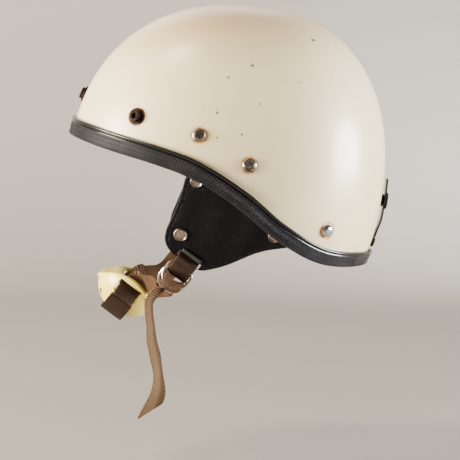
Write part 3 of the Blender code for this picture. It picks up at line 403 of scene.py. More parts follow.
class Look:
    def __init__(self, name, preview):
        self.material = bpy.data.materials.new(name)
        self.material.use_nodes = True
        self.material.diffuse_color = (*preview, 1)
        self.tree = self.material.node_tree
        self.shader = self.tree.nodes["Principled BSDF"]

    def plug(self, socket, value):
        if isinstance(value, Wire):
            self.tree.links.new(value.socket, socket)
        elif isinstance(value, tuple) and len(value) == 3 and len(socket.default_value) == 4:
            socket.default_value = (*value, 1)
        else:
            socket.default_value = value

    def add(self, kind, settings, sockets, out=0):  # settings first, then the sockets' values or links
        node = self.tree.nodes.new(kind)
        for key, value in settings.items():
            setattr(node, key, value)
        for key, value in sockets.items():
            self.plug(node.inputs[key], value)
        return Wire(self, node.outputs[out])

    def place(self):
        return self.add("ShaderNodeTexCoord", {}, {}, "Object")

    def cloth(self):
        return self.add("ShaderNodeTexCoord", {}, {}, "UV")

    def parts(self, vector):
        node = self.add("ShaderNodeSeparateXYZ", {}, {0: vector}).socket.node
        return [Wire(self, out) for out in node.outputs]

    def noise(self, scale, detail=3.0, roughness=0.5, stretch=None, distortion=0.0):
        at = self.place()
        if stretch:
            at = self.add("ShaderNodeMapping", {}, {"Vector": at, "Scale": stretch})
        return self.add("ShaderNodeTexNoise", {}, {"Vector": at, "Scale": scale, "Detail": detail,
                                                   "Roughness": roughness, "Distortion": distortion})

    def cells(self, scale, feature="F1"):
        return self.add("ShaderNodeTexVoronoi", {"feature": feature},
                        {"Vector": self.place(), "Scale": scale, "Randomness": 1.0}, "Distance")

    def mix(self, share, first, second):
        node = self.tree.nodes.new("ShaderNodeMix")
        node.data_type = "RGBA"
        self.plug(node.inputs[0], share)
        self.plug(node.inputs[6], first)
        self.plug(node.inputs[7], second)
        return Wire(self, node.outputs[2])

    def vector(self, operation, first, second, out=0):
        return self.add("ShaderNodeVectorMath", {"operation": operation}, {0: first, 1: second}, out)

    def distance(self, point):
        return self.vector("DISTANCE", self.place(), tuple(point), "Value")

    def segment(self, start, end):  # distance from a straight line between two places
        start, reach = Vector(start), Vector(end) - Vector(start)
        away = self.vector("SUBTRACT", self.place(), tuple(start))
        share = (self.vector("DOT_PRODUCT", away, tuple(reach / reach.length_squared), "Value")).most(0.0).least(1.0)
        nearest = self.add("ShaderNodeVectorMath", {"operation": "SCALE"}, {0: tuple(reach), "Scale": share})
        return self.vector("DISTANCE", away, nearest, "Value")

    def bump(self, height, deep, strength=1.0):
        return self.add("ShaderNodeBump", {}, {"Height": height, "Distance": deep, "Strength": strength})

    def finish(self, colour, roughness, normal=None, metallic=0.0, coat=0.0, coatRough=0.2, sheen=0.0, specular=0.5):
        values = {"Base Color": colour, "Roughness": roughness, "Metallic": metallic, "Coat Weight": coat,
                  "Coat Roughness": coatRough, "Sheen Weight": sheen, "Specular IOR Level": specular}
        if normal:
            values["Normal"] = normal
        for name, value in values.items():
            self.plug(self.shader.inputs[name], value)
        return self.material


# Seats of the fasteners: y, height and side
napeBack = 0.0819
seatPlaces = dict(
    front_visor_stud=(-0.1548, 0.0321, 0),
    left_visor_stud=(-0.0804, 0.0150, 1), right_visor_stud=(-0.0804, 0.0150, -1),
    left_liner_screw=(-0.0270, 0.0, 1), right_liner_screw=(-0.0270, 0.0, -1),
    left_strap_rivet=(0.0155, -0.0253, 1), right_strap_rivet=(0.0155, -0.0253, -1),
    left_nape_rivet=(napeBack, rimHeight(napeBack) + 0.0282, 1),
    right_nape_rivet=(napeBack, rimHeight(napeBack) + 0.0282, -1))
seats = {name: seatOn(*spot) for name, spot in seatPlaces.items()}
rearRises = dict(stud=0.0528, rivet=0.0158)
seats["goggle_snap_stud"] = rearSeat(rearRises["stud"])
seats["goggle_strap_rivet"] = rearSeat(rearRises["rivet"])

trimPitch = 0.235
paint = dict(
    cream=(0.85, 0.70, 0.40), pale=(0.88, 0.77, 0.51), yellowed=(0.72, 0.53, 0.24), grimeAndShade=(0.28, 0.22, 0.15),
    chip=(0.13, 0.075, 0.045), rust=(0.46, 0.21, 0.06), stain=(0.78, 0.52, 0.22), paintedTopShade=(0.57, 0.39, 0.20),
    roughness=0.30, low=(-0.06, 0.01), high=(0.045, 0.112), stained=0.0030, napeStained=0.0050,
    scratches=(((0.0953, 0.037, 0.047), (0.0911, 0.060, 0.0444)), ((0.0958, 0.040, 0.0455), (0.0925, 0.058, 0.0435))),
    haloes=dict(visor_stud=8.2, liner_screw=7.0, strap_rivet=7.2, nape_rivet=7.6, goggle_snap_stud=7.0),
    # places of the chips, then their widths in millimetres
    chips=((0.0573, 0.0708, 0.080, 1.5), (0.0916, 0.0183, 0.0582, 1.1), (0.0973, -0.0022, 0.0484, 0.8),
           (0.0761, 0.0864, 0.0484, 1.0), (0.1051, 0.0244, 0.0261, 0.7), (0.1118, 0.0090, 0.0007, 0.7),
           (0.1073, -0.0118, 0.0188, 0.8), (0.1115, -0.0118, -0.0020, 0.7), (0.0658, -0.0734, 0.0668, 0.7),
           (-0.082, 0.046, 0.062, 1.2), (-0.098, -0.018, 0.047, 0.9), (-0.060, 0.098, 0.046, 1.1),
           (0.020, -0.060, 0.098, 0.9), (-0.035, 0.020, 0.109, 1.1)))


def tinted(colour, share, added=0.0):
    return tuple(min(1.0, value * share + added) for value in colour)


def paintLook():
    p, look = paint, Look("agedCreamPaint", paint["cream"])
    broad, fine = look.noise(9, 3, 0.55), look.noise(60, 4, 0.6)
    colour = look.mix(broad.above(0.35, 0.75) * 0.6, p["cream"], p["pale"])
    colour = look.mix(fine.above(0.55, 0.85) * 0.16, colour, p["yellowed"])
    height = look.parts(look.place())[2]
    colour = look.mix(height.below(*p["low"]) * 0.32 * look.noise(22, 4).above(0.3, 0.7), colour, p["yellowed"])
    # painted shade: the top of the shell is painted darker and warmer, as if it were lit only from the sides
    colour = look.mix(height.above(*p["high"]) * 0.85, colour, p["paintedTopShade"])

    # rust and its stain round the fasteners
    wobble = (look.noise(420, 2) - 0.5) * 0.0022
    rings, stains = [], []
    for name, (place, _) in seats.items():
        for reach in [reach / 1000 for ending, reach in p["haloes"].items() if name.endswith(ending)]:
            far = look.distance(place) + wobble
            rings.append(far.below(reach - 0.0003, reach + 0.0010))
            stains.append(far.below(reach - 0.0002, reach + p["napeStained" if "nape" in name else "stained"]))
    rust, stain = reduce(Wire.most, rings), reduce(Wire.most, stains)
    colour = look.mix(stain * look.noise(210, 3).above(0.34, 0.66) * 0.75, colour, p["stain"])
    colour = look.mix(rust * look.noise(330, 3).above(0.28, 0.56) * 0.9, colour, p["rust"])

    # chips with yellowed edges, specks and scratches
    cores, edges = [], []
    for x, y, z, width in p["chips"]:
        far = look.distance((x, y, z)) + (look.noise(900, 2) - 0.5) * 0.0016
        cores.append(far.below(width / 1100, width / 700))
        edges.append(far.below(width / 650, width / 380))
    core, edge = reduce(Wire.most, cores), reduce(Wire.most, edges)
    specks = look.cells(230).below(0.035, 0.06) * look.noise(30, 2).above(0.56, 0.62)
    specks = specks * look.noise(300, 1).above(0.45, 0.55)
    streak = look.noise(26, 2, 0.6, stretch=(3.0, 0.35, 5.0), distortion=0.4)
    scratch = abs(streak - 0.5).below(0.0011, 0.0026) * look.noise(14, 2).above(0.60, 0.66)
    for start, end in p["scratches"]:
        line = (look.segment(start, end) + (look.noise(600, 2) - 0.5) * 0.0006).below(0.00022, 0.00065)
        scratch = scratch.most(line * look.noise(160, 2).above(0.42, 0.52))
    colour = look.mix(edge * 0.45, colour, p["yellowed"])
    colour = look.mix(scratch * 0.75, colour, p["grimeAndShade"])
    colour = look.mix(core.most(specks * 0.75), colour, p["chip"])
    rough = p["roughness"] + broad * 0.10 + fine * 0.06 + core * 0.3 + rust * 0.15
    relief = look.noise(700, 2) * 0.05 + (1 - core) * 0.7 + (1 - specks) * 0.15 - scratch * 0.1
    return look.finish(colour, rough, look.bump(relief, 0.00025, 0.6), coat=0.5, coatRough=0.24)


binding = dict(  # the trim's pattern in centimetres and its tints
    wide=0.34, slant=1.35, low=(-0.24, -0.20), high=(0.90, 0.93), rear=(0.075, 0.125),
    groove=(0.0012, 0.0012, 0.0015), ridge=(0.044, 0.040, 0.046), smooth=(0.006, 0.006, 0.0065),
    rubbedAndLit=(0.070, 0.060, 0.055), dust=(0.16, 0.14, 0.12))


def trimLook():  # UV in centimetres: along the rim, then across from the lower edge up
    t, look = binding, Look("herringboneTrim", (0.03, 0.03, 0.035))
    along, across, _ = look.parts(look.cloth())
    rows = across / t["wide"] + 8
    way = (rows.floor() % 2) * 2 - 1
    stripe = (along / trimPitch + way * rows.fraction() * t["slant"]).fraction()
    seam = abs(rows.fraction() - 0.5).above(0.44, 0.5)
    band = across.above(*t["low"]) * across.below(*t["high"])
    raised = abs(stripe - 0.5).below(0.13, 0.33) * (1 - seam * 0.8) * band
    worn = look.noise(35, 4, 0.6).above(0.40, 0.70)
    # lighter towards the rear: partly wear, partly painted light from the rear lamp
    rubbedAndLit = look.parts(look.place())[1].above(*t["rear"]) * 0.6
    colour = look.mix(raised * (0.50 + worn * 0.5), t["groove"], t["ridge"])
    colour = look.mix(1 - band, colour, t["smooth"])
    colour = look.mix(rubbedAndLit * band * look.noise(60, 4).above(0.30, 0.62), colour, t["rubbedAndLit"])
    dust = look.noise(500, 3).above(0.60, 0.74) * look.noise(20, 2).above(0.45, 0.7)
    colour = look.mix(dust * 0.25, colour, t["dust"])
    rough = 0.52 - raised * 0.10 - (1 - band) * 0.24 + look.noise(200, 2) * 0.12
    relief = raised + look.noise(900, 2) * 0.10
    return look.finish(colour, rough, look.bump(relief, 0.0006, 1.0), coat=(1 - band) * 0.6,
                       coatRough=0.16, specular=0.14)


# painted shade on the chin strap's webbing where it goes into the cup's slots
slotShade = dict(places=[harnessPlace(side * 0.0350, 0.0100, 0.1175) for side in (1, -1)],
               reach=(0.0085, 0.0155), colour=(0.020, 0.0095, 0.0045))


def webLook(name, base, dark, pitch, gauge, shadedAtSlots=False, flat=1.0):
    # UV in centimetres; it can get painted shade round the cup's slots, and flat is how far its ribs are worn
    look = Look(name, base)
    along, across, _ = look.parts(look.cloth())
    row = (along / pitch).floor()
    rib = ((along / pitch).fraction() * math.pi).sine()
    strand = ((across / gauge + (row % 2) * 0.5).fraction() * math.pi).sine()
    thread = (rib ** 2.2) * (0.35 + 0.65 * strand)
    if flat < 1.0:  # one side keeps its ribs
        side = across.above(1.05, 1.50) * across.below(2.65, 3.10)
        thread = 1 - (1 - thread) * (flat + (1 - flat) * side)
    fray, tone = look.noise(1400, 3, 0.7), look.noise(55, 4, 0.6)
    colour = look.mix(thread, dark, base)
    colour = look.mix(tone.above(0.42, 0.75) * 0.55, colour, tinted(base, 0.55))
    colour = look.mix(fray.above(0.60, 0.85) * 0.15, colour, tinted(base, 1.5))
    # painted shade, darker near the cup's slots
    for spot in slotShade["places"] if shadedAtSlots else ():
        colour = look.mix(look.distance(spot).below(*slotShade["reach"]) * 0.9, colour, slotShade["colour"])
    return look.finish(colour, 0.86 - thread * 0.08, look.bump(thread + fray * 0.25, 0.0008, 1.0), specular=0.2)


def leatherLook(name, base, worn, gloss, grain=520, crease=0.5, specular=0.4):
    look = Look(name, base)
    pores = look.cells(grain, feature="DISTANCE_TO_EDGE").above(0.0, 0.09)
    folds = look.noise(38, 5, 0.6, stretch=(1, 1, 2.2), distortion=0.8)
    tone = look.noise(24, 4, 0.6)
    scuff = look.noise(260, 4, 0.7).above(0.66, 0.78) * tone.above(0.45, 0.7)
    colour = look.mix(tone.above(0.38, 0.78), base, worn)
    colour = look.mix((1 - pores) * 0.45, colour, tinted(base, 0.45))
    colour = look.mix(scuff * 0.30, colour, tinted(worn, 2.6, 0.02))
    rough = gloss + (1 - pores) * 0.16 + look.noise(70, 3) * 0.16 + scuff * 0.1
    relief = pores * 0.35 + folds * crease + look.noise(1500, 2) * 0.08
    return look.finish(colour, rough, look.bump(relief, 0.0005, 0.55), specular=specular)


def metalLook(name, base, tarnish, roughness, rust=0.4, metallic=1.0):
    look = Look(name, base)
    broad, pits = look.noise(130, 4, 0.6), look.noise(900, 3, 0.65)
    dull = broad.above(0.42, 0.66)
    stain = look.noise(240, 5, 0.7).above(0.54, 0.66)
    colour = look.mix(dull * 0.85, base, tarnish)
    colour = look.mix(stain * rust, colour, (0.17, 0.075, 0.03))
    rough = roughness + dull * 0.18 + stain * 0.25 * rust + pits * 0.08
    bump = look.bump(pits + broad * 0.8, 0.00012, 0.6)
    return look.finish(colour, rough, bump, metallic=metallic - stain * rust * 0.7)


ivory = dict(warm=(0.88, 0.74, 0.17), deep=(0.84, 0.63, 0.10), mottled=(0.55, 0.42, 0.22), speck=(0.22, 0.15, 0.08),
             grimeAndShade=(0.17, 0.085, 0.03), vent=(0.0122, -0.0090, 0.1341), ventReach=(0.0022, 0.0042),
             underskin=dict(Weight=0.15, Scale=0.004, Radius=(1.0, 0.7, 0.4)))


def cupLook():
    i, look = ivory, Look("yellowedIvory", (0.8, 0.74, 0.5))
    broad, fine = look.noise(40, 3, 0.55), look.noise(260, 3, 0.6)
    colour = look.mix(broad.above(0.35, 0.7), i["warm"], i["deep"])
    colour = look.mix(fine.above(0.60, 0.78) * 0.35, colour, i["mottled"])
    colour = look.mix(look.noise(600, 2).above(0.70, 0.76) * 0.5, colour, i["speck"])
    # painted shade: a dark ring round each vent stands in for the shade inside the hole
    across, run, drop = i["vent"]
    for side in (1, -1):
        vent = look.distance(harnessPlace(side * across, run, drop)).below(*i["ventReach"])
        colour = look.mix(vent * 0.85, colour, i["grimeAndShade"])
    bump = look.bump(fine * 0.4 + look.noise(900, 2) * 0.2, 0.0002, 0.5)
    for ending, value in i["underskin"].items():
        look.shader.inputs["Subsurface " + ending].default_value = value
    return look.finish(colour, 0.30 + broad * 0.12 + fine * 0.08, bump, coat=0.35, coatRough=0.15)


def foamLook():
    look = Look("beadFoam", (0.72, 0.70, 0.64))
    bead, edge = look.cells(360), look.cells(360, feature="DISTANCE_TO_EDGE").above(0.0, 0.08)
    colour = look.mix(look.noise(18, 4, 0.6).above(0.4, 0.75), (0.72, 0.70, 0.64), (0.58, 0.50, 0.36))
    colour = look.mix((1 - edge) * 0.35, colour, (0.35, 0.30, 0.22))
    return look.finish(colour, 0.82 - bead * 0.08, look.bump(edge * 0.6 - bead * 0.5, 0.0006, 0.7), specular=0.3)


def clothLook(name, base, dark, gauge=900):  # woven lining cloth on padded pieces
    look = Look(name, base)
    x, y, z = look.parts(look.place())
    warp, weft = ((x + y * 0.6) * gauge * 2).sine(), ((z + y * 0.8) * gauge * 2).sine()
    weave, fuzz = (warp * weft) * 0.5 + 0.5, look.noise(1600, 3, 0.7)
    colour = look.mix(weave * 0.7 + fuzz * 0.2, dark, base)
    colour = look.mix(look.noise(30, 4, 0.6).above(0.45, 0.75) * 0.5, colour, dark)
    return look.finish(colour, 0.92, look.bump(weave + fuzz * 0.4, 0.0004, 0.8), sheen=0.3, specular=0.25)


studio = dict(pale=(0.350, 0.322, 0.293), dim=(0.306, 0.276, 0.246), paintedGlow=(0.620, 0.580, 0.560),
              glowPlace=(-1.60, 0.45, -0.18), glowReach=(0.05, 0.70))


def stageLook():
    s, look = studio, Look("paleStudio", (0.78, 0.76, 0.73))
    colour = look.mix(look.noise(0.9, 3, 0.5).above(0.3, 0.8) * 0.35, s["pale"], s["dim"])
    # a pool of painted light on the backdrop
    colour = look.mix(look.distance(s["glowPlace"]).below(*s["glowReach"]) * 0.80, colour, s["paintedGlow"])
    return look.finish(colour, 0.85, specular=0.2)


looks = dict(
    paint=paintLook(), trim=trimLook(),
    webbing=webLook("ribbedWebbing", (0.175, 0.098, 0.043), (0.016, 0.007, 0.004), 0.24, 0.16, flat=0.42),
    fineWebbing=webLook("fineWebbing", (0.235, 0.125, 0.062), (0.045, 0.022, 0.011), 0.13, 0.10, True),
    softBlack=leatherLook("softBlackLeather", (0.0020, 0.0021, 0.0030), (0.0040, 0.0044, 0.0066), 0.14, 650, 2.0,
                          0.13),
    brown=leatherLook("brownStrapLeather", (0.040, 0.018, 0.0095), (0.024, 0.011, 0.006), 0.48, 900, 0.35, 0.2),
    sleeve=leatherLook("darkSleeveLeather", (0.020, 0.0095, 0.0045), (0.013, 0.0065, 0.004), 0.55, 900, 0.5, 0.12),
    band=leatherLook("sweatBandLeather", (0.115, 0.058, 0.030), (0.070, 0.036, 0.020), 0.50, 560, 0.4),
    steel=metalLook("wornNickel", (0.36, 0.30, 0.26), (0.10, 0.068, 0.050), 0.20, 0.75),
    chrome=metalLook("brightNickel", (0.72, 0.73, 0.76), (0.42, 0.41, 0.40), 0.10, 0.25),
    wire=metalLook("ringWire", (0.70, 0.64, 0.55), (0.36, 0.27, 0.20), 0.20, 0.35),
    bronze=metalLook("brownStud", (0.016, 0.0075, 0.005), (0.009, 0.0045, 0.0035), 0.52, 0.12, 0.85),
    washer=metalLook("backWasher", (0.55, 0.53, 0.50), (0.36, 0.33, 0.29), 0.38, 0.5),
    cup=cupLook(), foam=foamLook(),
    lining=clothLook("paddedLining", (0.095, 0.085, 0.075), (0.030, 0.026, 0.024)),
    bar=leatherLook("keeperBar", (0.006, 0.006, 0.007), (0.012, 0.0115, 0.0125), 0.34, 1400, 0.2),
    stage=stageLook())
print("finishes made:", len(looks))

# Camera, light and floor

view = dict(elevation=5.0, distance=1.9, aim=(0.0, -0.0009, -0.0897), lens=165.7, sensor=36.0)


def makeCamera():
    dropSelection()
    tilt = math.radians(view["elevation"])
    back = Vector((math.cos(tilt), 0, math.sin(tilt)))
    aim = Vector(view["aim"])
    bpy.ops.object.camera_add(location=aim + back * view["distance"])
    camera = bpy.context.object
    camera.rotation_mode = "QUATERNION"
    camera.rotation_quaternion = (-back).to_track_quat("-Z", "Y")
    camera.data.lens = view["lens"]
    camera.data.sensor_width = view["sensor"]
    camera.data.clip_start, camera.data.clip_end = 0.01, 50
    bpy.context.scene.camera = camera


lamps = dict(  # place, size, watts, colour
    overhead=((0.42, -0.95, 1.95), 0.5, 28, (1.0, 0.86, 0.66)),
    front=((0.50, -2.35, 0.25), 1.3, 330, (1.0, 0.92, 0.78)),
    rear=((0.38, 2.35, 0.0), 1.2, 280, (0.97, 0.985, 1.0)),
    far=((-1.8, -0.3, 1.3), 1.5, 14, (1.0, 0.98, 0.95)))
air = dict(lit=(0, 0, -0.06), colour=(0.93, 0.91, 0.90, 1), strength=0.12)
floor = dict(near=2.2, level=-0.300, wide=9.0, long=7.5, flat=3.4, bend=0.9)


def makeLights():
    for name, (place, size, watts, colour) in lamps.items():
        dropSelection()
        bpy.ops.object.light_add(type="AREA", location=place)
        lamp = bpy.context.object
        lamp.name = name + "Lamp"
        lamp.data.shape, lamp.data.size = "DISK", size
        lamp.data.energy, lamp.data.color = watts, colour
        lamp.rotation_mode = "QUATERNION"
        lamp.rotation_quaternion = (Vector(air["lit"]) - Vector(place)).to_track_quat("-Z", "Y")
    world = bpy.data.worlds.new("studioAir")
    world.use_nodes = True
    background = world.node_tree.nodes["Background"].inputs
    background[0].default_value, background[1].default_value = air["colour"], air["strength"]
    bpy.context.scene.world = world


def makeFloor():
    f = floor

    def placeOf(s, t):
        run = t * f["long"]
        turn = min(max(run - f["flat"], 0) / f["bend"], math.pi / 2)
        up = max(run - f["flat"] - f["bend"] * math.pi / 2, 0)
        back = min(run, f["flat"]) + f["bend"] * math.sin(turn)
        return Vector((f["near"] - back, (s - 0.5) * f["wide"], f["level"] + f["bend"] * (1 - math.cos(turn)) + up))
    sweep = formedGrid("studioFloor", 8, 120, placeOf, smooth=60, closed=False)
    sweep.data.materials.append(looks["stage"])


makeCamera()
makeLights()
makeFloor()
print("camera, lights and floor")

# Shell and trim

shell = dict(columns=224, rows=72, linerColumns=144, linerRows=30)


def ringOf(count):
    return [2 * math.pi * i / count for i in range(count + 1)]


def capSurface(name, columns, rows, lowest, outer, inner):
    # a closed cap of the dome between two depths
    def placeOf(s, t):
        around = turnOf(s)
        share, depth = (t * 2, outer) if t <= 0.5 else ((1 - t) * 2, inner)
        return domePoint(around, lowest(around) * share, depth)
    return formedGrid(name, columns, 2 * rows, placeOf, (60, 40))


outerShell = capSurface("cream_shell", shell["columns"], shell["rows"], rimDown, 0.0, -dome["wall"])
finished(outerShell, looks["paint"], "helmet", "cream_paint", "outer_shell")
print("shell")

trim = dict(columns=288, height=0.0135, rearShare=0.80, outer=0.0036, bead=0.00135, foot=0.0026,
            inner=0.0045, innerWall=0.0014, innerHeight=0.0100, gap=0.0007, proud=0.0006, belly=0.0005,
            neck=0.0010, flangeDrop=0.0005,
            faceShares=(0.70, 0.55, 0.40, 0.25, 0.12), insideShares=(0.4, 0.8, 0.97), outsideCount=25)


def trimSection(around):  # rise above the rim and depth, from the top lip over the face and round the foot
    t = trim
    top = t["height"] * (1 - (1 - t["rearShare"]) * max(math.sin(around), 0) ** 2)
    out, bead, inner, proud = t["outer"], t["bead"], -t["inner"], t["proud"]
    back, under, gap = inner - t["innerWall"], -t["flangeDrop"], t["gap"]
    turns = [math.pi / 2 - k * math.pi / 8 for k in range(0, 7)]
    lip = [(top - bead + bead * math.sin(a), out - bead + proud + bead * math.cos(a)) for a in turns]
    face = [(top - 2.35 * bead, out - t["neck"]), (top - 3.0 * bead, out - proud)]
    face += [(top * share, out - proud + t["belly"] * math.sin(math.pi * share)) for share in t["faceShares"]]
    turns = [math.pi * k / 10 for k in range(0, 11)]
    foot = [(-t["foot"] * math.sin(a) ** 0.6, (out + back) / 2 + (out - back) / 2 * math.cos(a)) for a in turns]
    inside = [(t["innerHeight"] * share, back) for share in t["insideShares"]]
    inside += [(t["innerHeight"], inner - t["innerWall"] * 0.6), (t["innerHeight"], inner),
               (under, inner), (under, gap), (top * 0.5, gap), (top, gap)]
    return lip + face + foot + inside


def makeTrim():
    section, columns = trimSection(0.0), trim["columns"]
    count, heights = len(section), [rise * 100 for rise, _ in section]
    rows = [[domePoint(around, risenDown(around, rise), depth) for rise, depth in trimSection(around)]
            for around in ringOf(columns)[:-1]]
    rows.append(rows[0])
    lengths = lengthsAlong([row[0] for row in rows])
    piece = ringGrid("edge_binding", rows, smooth=50)
    total = lengths[-1] * 100
    pitches = round(total / trimPitch)
    for corner in piece.data.uv_layers.active.data:
        i, j = round(corner.uv[0] * columns), round(corner.uv[1] * count)
        across = heights[j] if j < trim["outsideCount"] else -0.5
        corner.uv = (lengths[i] * 100 * pitches * trimPitch / total, across)
    return piece


edgeBinding = makeTrim()
finished(edgeBinding, looks["trim"], "helmet", "black_rubber", "edge_trim")
print("edge binding")

# Fasteners

fastener = dict(gap=0.3, shank=1.8, washer=0.8, tail=0.9, wall=4.0, curved=0.8, underStrap=3.5,
                slot=(0.0072, 0.00115, 0.0025), slotTurns=(25, 115))
heads = dict(  # radius and height over the paint, in millimetres
    visor_stud=((7.0, 0), (7.4, 0.25), (7.4, 0.75), (7.1, 1.1), (5.9, 1.25), (5.5, 1.35), (5.25, 1.6), (5.1, 3.6),
                (4.8, 4.05), (4.3, 4.2), (2.7, 4.2), (2.3, 4.05), (2.1, 3.7), (2.0, 2.0), (1.6, 1.8), (0.02, 1.8)),
    strap_rivet=((6.0, 0), (6.3, 0.3), (6.25, 0.9), (5.8, 1.6), (5.2, 2.1), (4.7, 2.2), (4.3, 2.1), (4.0, 1.75),
                 (3.6, 1.65), (1.6, 1.75), (1.0, 1.95), (0.02, 2.0)),
    nape_rivet=((5.6, 0), (5.8, 0.2), (5.75, 0.6), (5.45, 1.3), (4.9, 2.0), (4.0, 2.7), (2.9, 3.15), (1.6, 3.37),
                (0.02, 3.4)),
    liner_screw=((5.8, 0), (6.0, 0.2), (5.95, 0.8), (5.6, 1.4), (4.9, 2.0), (3.8, 2.4), (2.4, 2.58), (0.02, 2.6)))
kinds = dict(visor_stud=("bronze", "brown_metal"), liner_screw=("steel", "plated_steel"),
             strap_rivet=("steel", "plated_steel"), nape_rivet=("chrome", "plated_steel"))


def shankFoot(under=0.0):  # how deep the shank ends, in millimetres
    f = fastener
    return -f["wall"] - f["curved"] - under - f["washer"] - f["tail"]


def headPattern(kind):
    g, shank = fastener["gap"], fastener["shank"]
    foot = shankFoot(fastener["underStrap"] if kind == "strap_rivet" else 0.0)
    head = lathe(kind + "_pattern", [(shank, foot), (shank, g)] + [(wide, g + high) for wide, high in heads[kind]])
    if kind == "liner_screw":
        long, wide, deep = fastener["slot"]
        top = (g + heads[kind][-1][1]) / 1000
        for turn in fastener["slotTurns"]:
            spin = Matrix.Rotation(math.radians(turn), 3, "Z")
            carve(head, bentBlock("blade", lambda x, y, z: spin @ Vector((x * long, y * wide, top + z * deep))))
        shadeSmooth(head, 35)
    return head


def makeFasteners():
    for kind, (look, slot) in kinds.items():
        pattern = headPattern(kind)
        for name, (place, axis) in seats.items():
            if name.endswith(kind) and "goggle" not in name:
                finished(copyOf(pattern, name + "_head", frameOn(place, axis)), looks[look], "helmet", slot, name)
        removed(pattern)
    for name in seats:
        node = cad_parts[name + "_washer"]
        node.data.materials.clear()
        node.data.materials.append(looks["washer"])


makeFasteners()
print("fasteners")

# Liner, band and pads inside

lining = dict(wall=0.0190, rise=0.0190, curved=0.0008, gap=0.0013, crownWall=0.0070, crownAngle=0.75,
              bandWall=0.0016, bandColumns=168, bandHeight=0.0330, bandRise=0.0030,
              bandEnd=0.0004, groove=0.0042, grooveRim=0.0007, browWall=0.0050, browHeight=0.0220,
              padGap=0.0004, padInset=0.0008, padReach=6 / 56, channelRun=0.29, channelTop=0.0560, channelDepth=0.0040,
              channelRoom=0.010 + 0.0016 + 0.0080, channelOut=0.002, channelLow=0.1, channelBevel=0.0012)


def makeLiner():
    outer = -dome["wall"] - lining["curved"]
    liner = capSurface("foam_liner", shell["linerColumns"], shell["linerRows"],
                       lambda a: risenDown(a, lining["rise"]), outer, outer - lining["wall"])
    room, middle = lining["channelRoom"], lining["channelRun"] * harness["reach"]
    near, far = harness["flapFace"] - lining["channelDepth"], dome["halfWidth"] + lining["channelOut"]
    top, low = -lining["channelTop"], lining["channelLow"]
    for side in (1, -1):  # a channel for each strap
        def channelPlace(x, y, z):
            return sided(harnessPlace((near + far) / 2 + x, middle + y, (top + low) / 2 + z), side)
        size = (far - near, 2 * room, low - top)
        carve(liner, bentBlock("channel", channelPlace, size=size, bevel=lining["channelBevel"]))
    shadeSmooth(liner, 30)
    return finished(liner, looks["foam"], "helmet", "foam", "impact_liner")


def makeSweatBand():
    l = lining
    inner = -dome["wall"] - l["curved"] - l["wall"] - l["gap"]
    wall, low = l["bandWall"], l["rise"] + l["bandRise"]
    high, back = low + l["bandHeight"], inner - l["bandWall"]
    end, groove, lip = l["bandEnd"], l["groove"], l["grooveRim"]
    section = [(low + end, inner)] + [(low + (high - low) * k / 12, inner) for k in range(1, 12)]
    section += [(high - end, inner), (high, inner - wall / 2), (high - end, back),
                (high - groove + lip, back), (high - groove, back + end), (high - groove - lip, back)]
    section += [(high - (high - low) * k / 12, back) for k in range(3, 10)]
    section += [(low + groove + lip, back), (low + groove, back + end), (low + groove - lip, back),
                (low + end, back), (low, inner - wall / 2)]
    rings = [[domePoint(a, risenDown(a, rise), depth) for rise, depth in section] for a in ringOf(l["bandColumns"])]
    band = ringGrid("leather_sweat_band", rings, (60, 8), 60)
    return finished(band, looks["band"], "helmet", "band_leather", "sweat_band")


swelling = dict(pressure=2.0, quality=5, stiffness=12, frames=20, evenings=4)


def swell(piece, voxel, most):  # pads are filled by a cloth simulation, at most this far out
    take(piece)
    piece.data.remesh_voxel_size = voxel
    bpy.ops.object.voxel_remesh()
    rest = [v.co.copy() for v in piece.data.vertices]
    cloth = piece.modifiers.new("swell", "CLOTH")
    cloth.settings.use_pressure = True
    cloth.settings.uniform_pressure_force = swelling["pressure"]
    cloth.settings.effector_weights.gravity = 0
    cloth.settings.quality = swelling["quality"]
    cloth.settings.tension_stiffness = cloth.settings.compression_stiffness = swelling["stiffness"]
    cloth.collision_settings.use_collision = False
    scene = bpy.context.scene
    for number in range(1, swelling["frames"] + 1):
        scene.frame_set(number)
    applyModifiers(piece)
    scene.frame_set(1)
    for vertex, start in zip(piece.data.vertices, rest):
        move = vertex.co - start
        if move.length > most:
            vertex.co = start + move * (most / move.length)
    piece.modifiers.new("even", "SMOOTH").iterations = swelling["evenings"]
    finer = piece.modifiers.new("finer", "SUBSURF")
    finer.levels = finer.render_levels = 1
    applyModifiers(piece)
    shadeSmooth(piece, 60)


def padOf(name, node, body, grid, size, placeOf, voxel, most):
    # two faces joined at their edge and filled; placeOf takes the face's sign and the shares
    faces = [formedGrid(name + str(sign), *grid, lambda s, t: placeOf(sign, s, t), size, closed=False)
             for sign in (1, -1)]
    pad = joined(name, *faces)
    sew(pad, within=2e-5)
    shadeSmooth(pad, 60)
    swell(pad, voxel, most)
    finished(pad, looks["lining"], body, "lining", node)


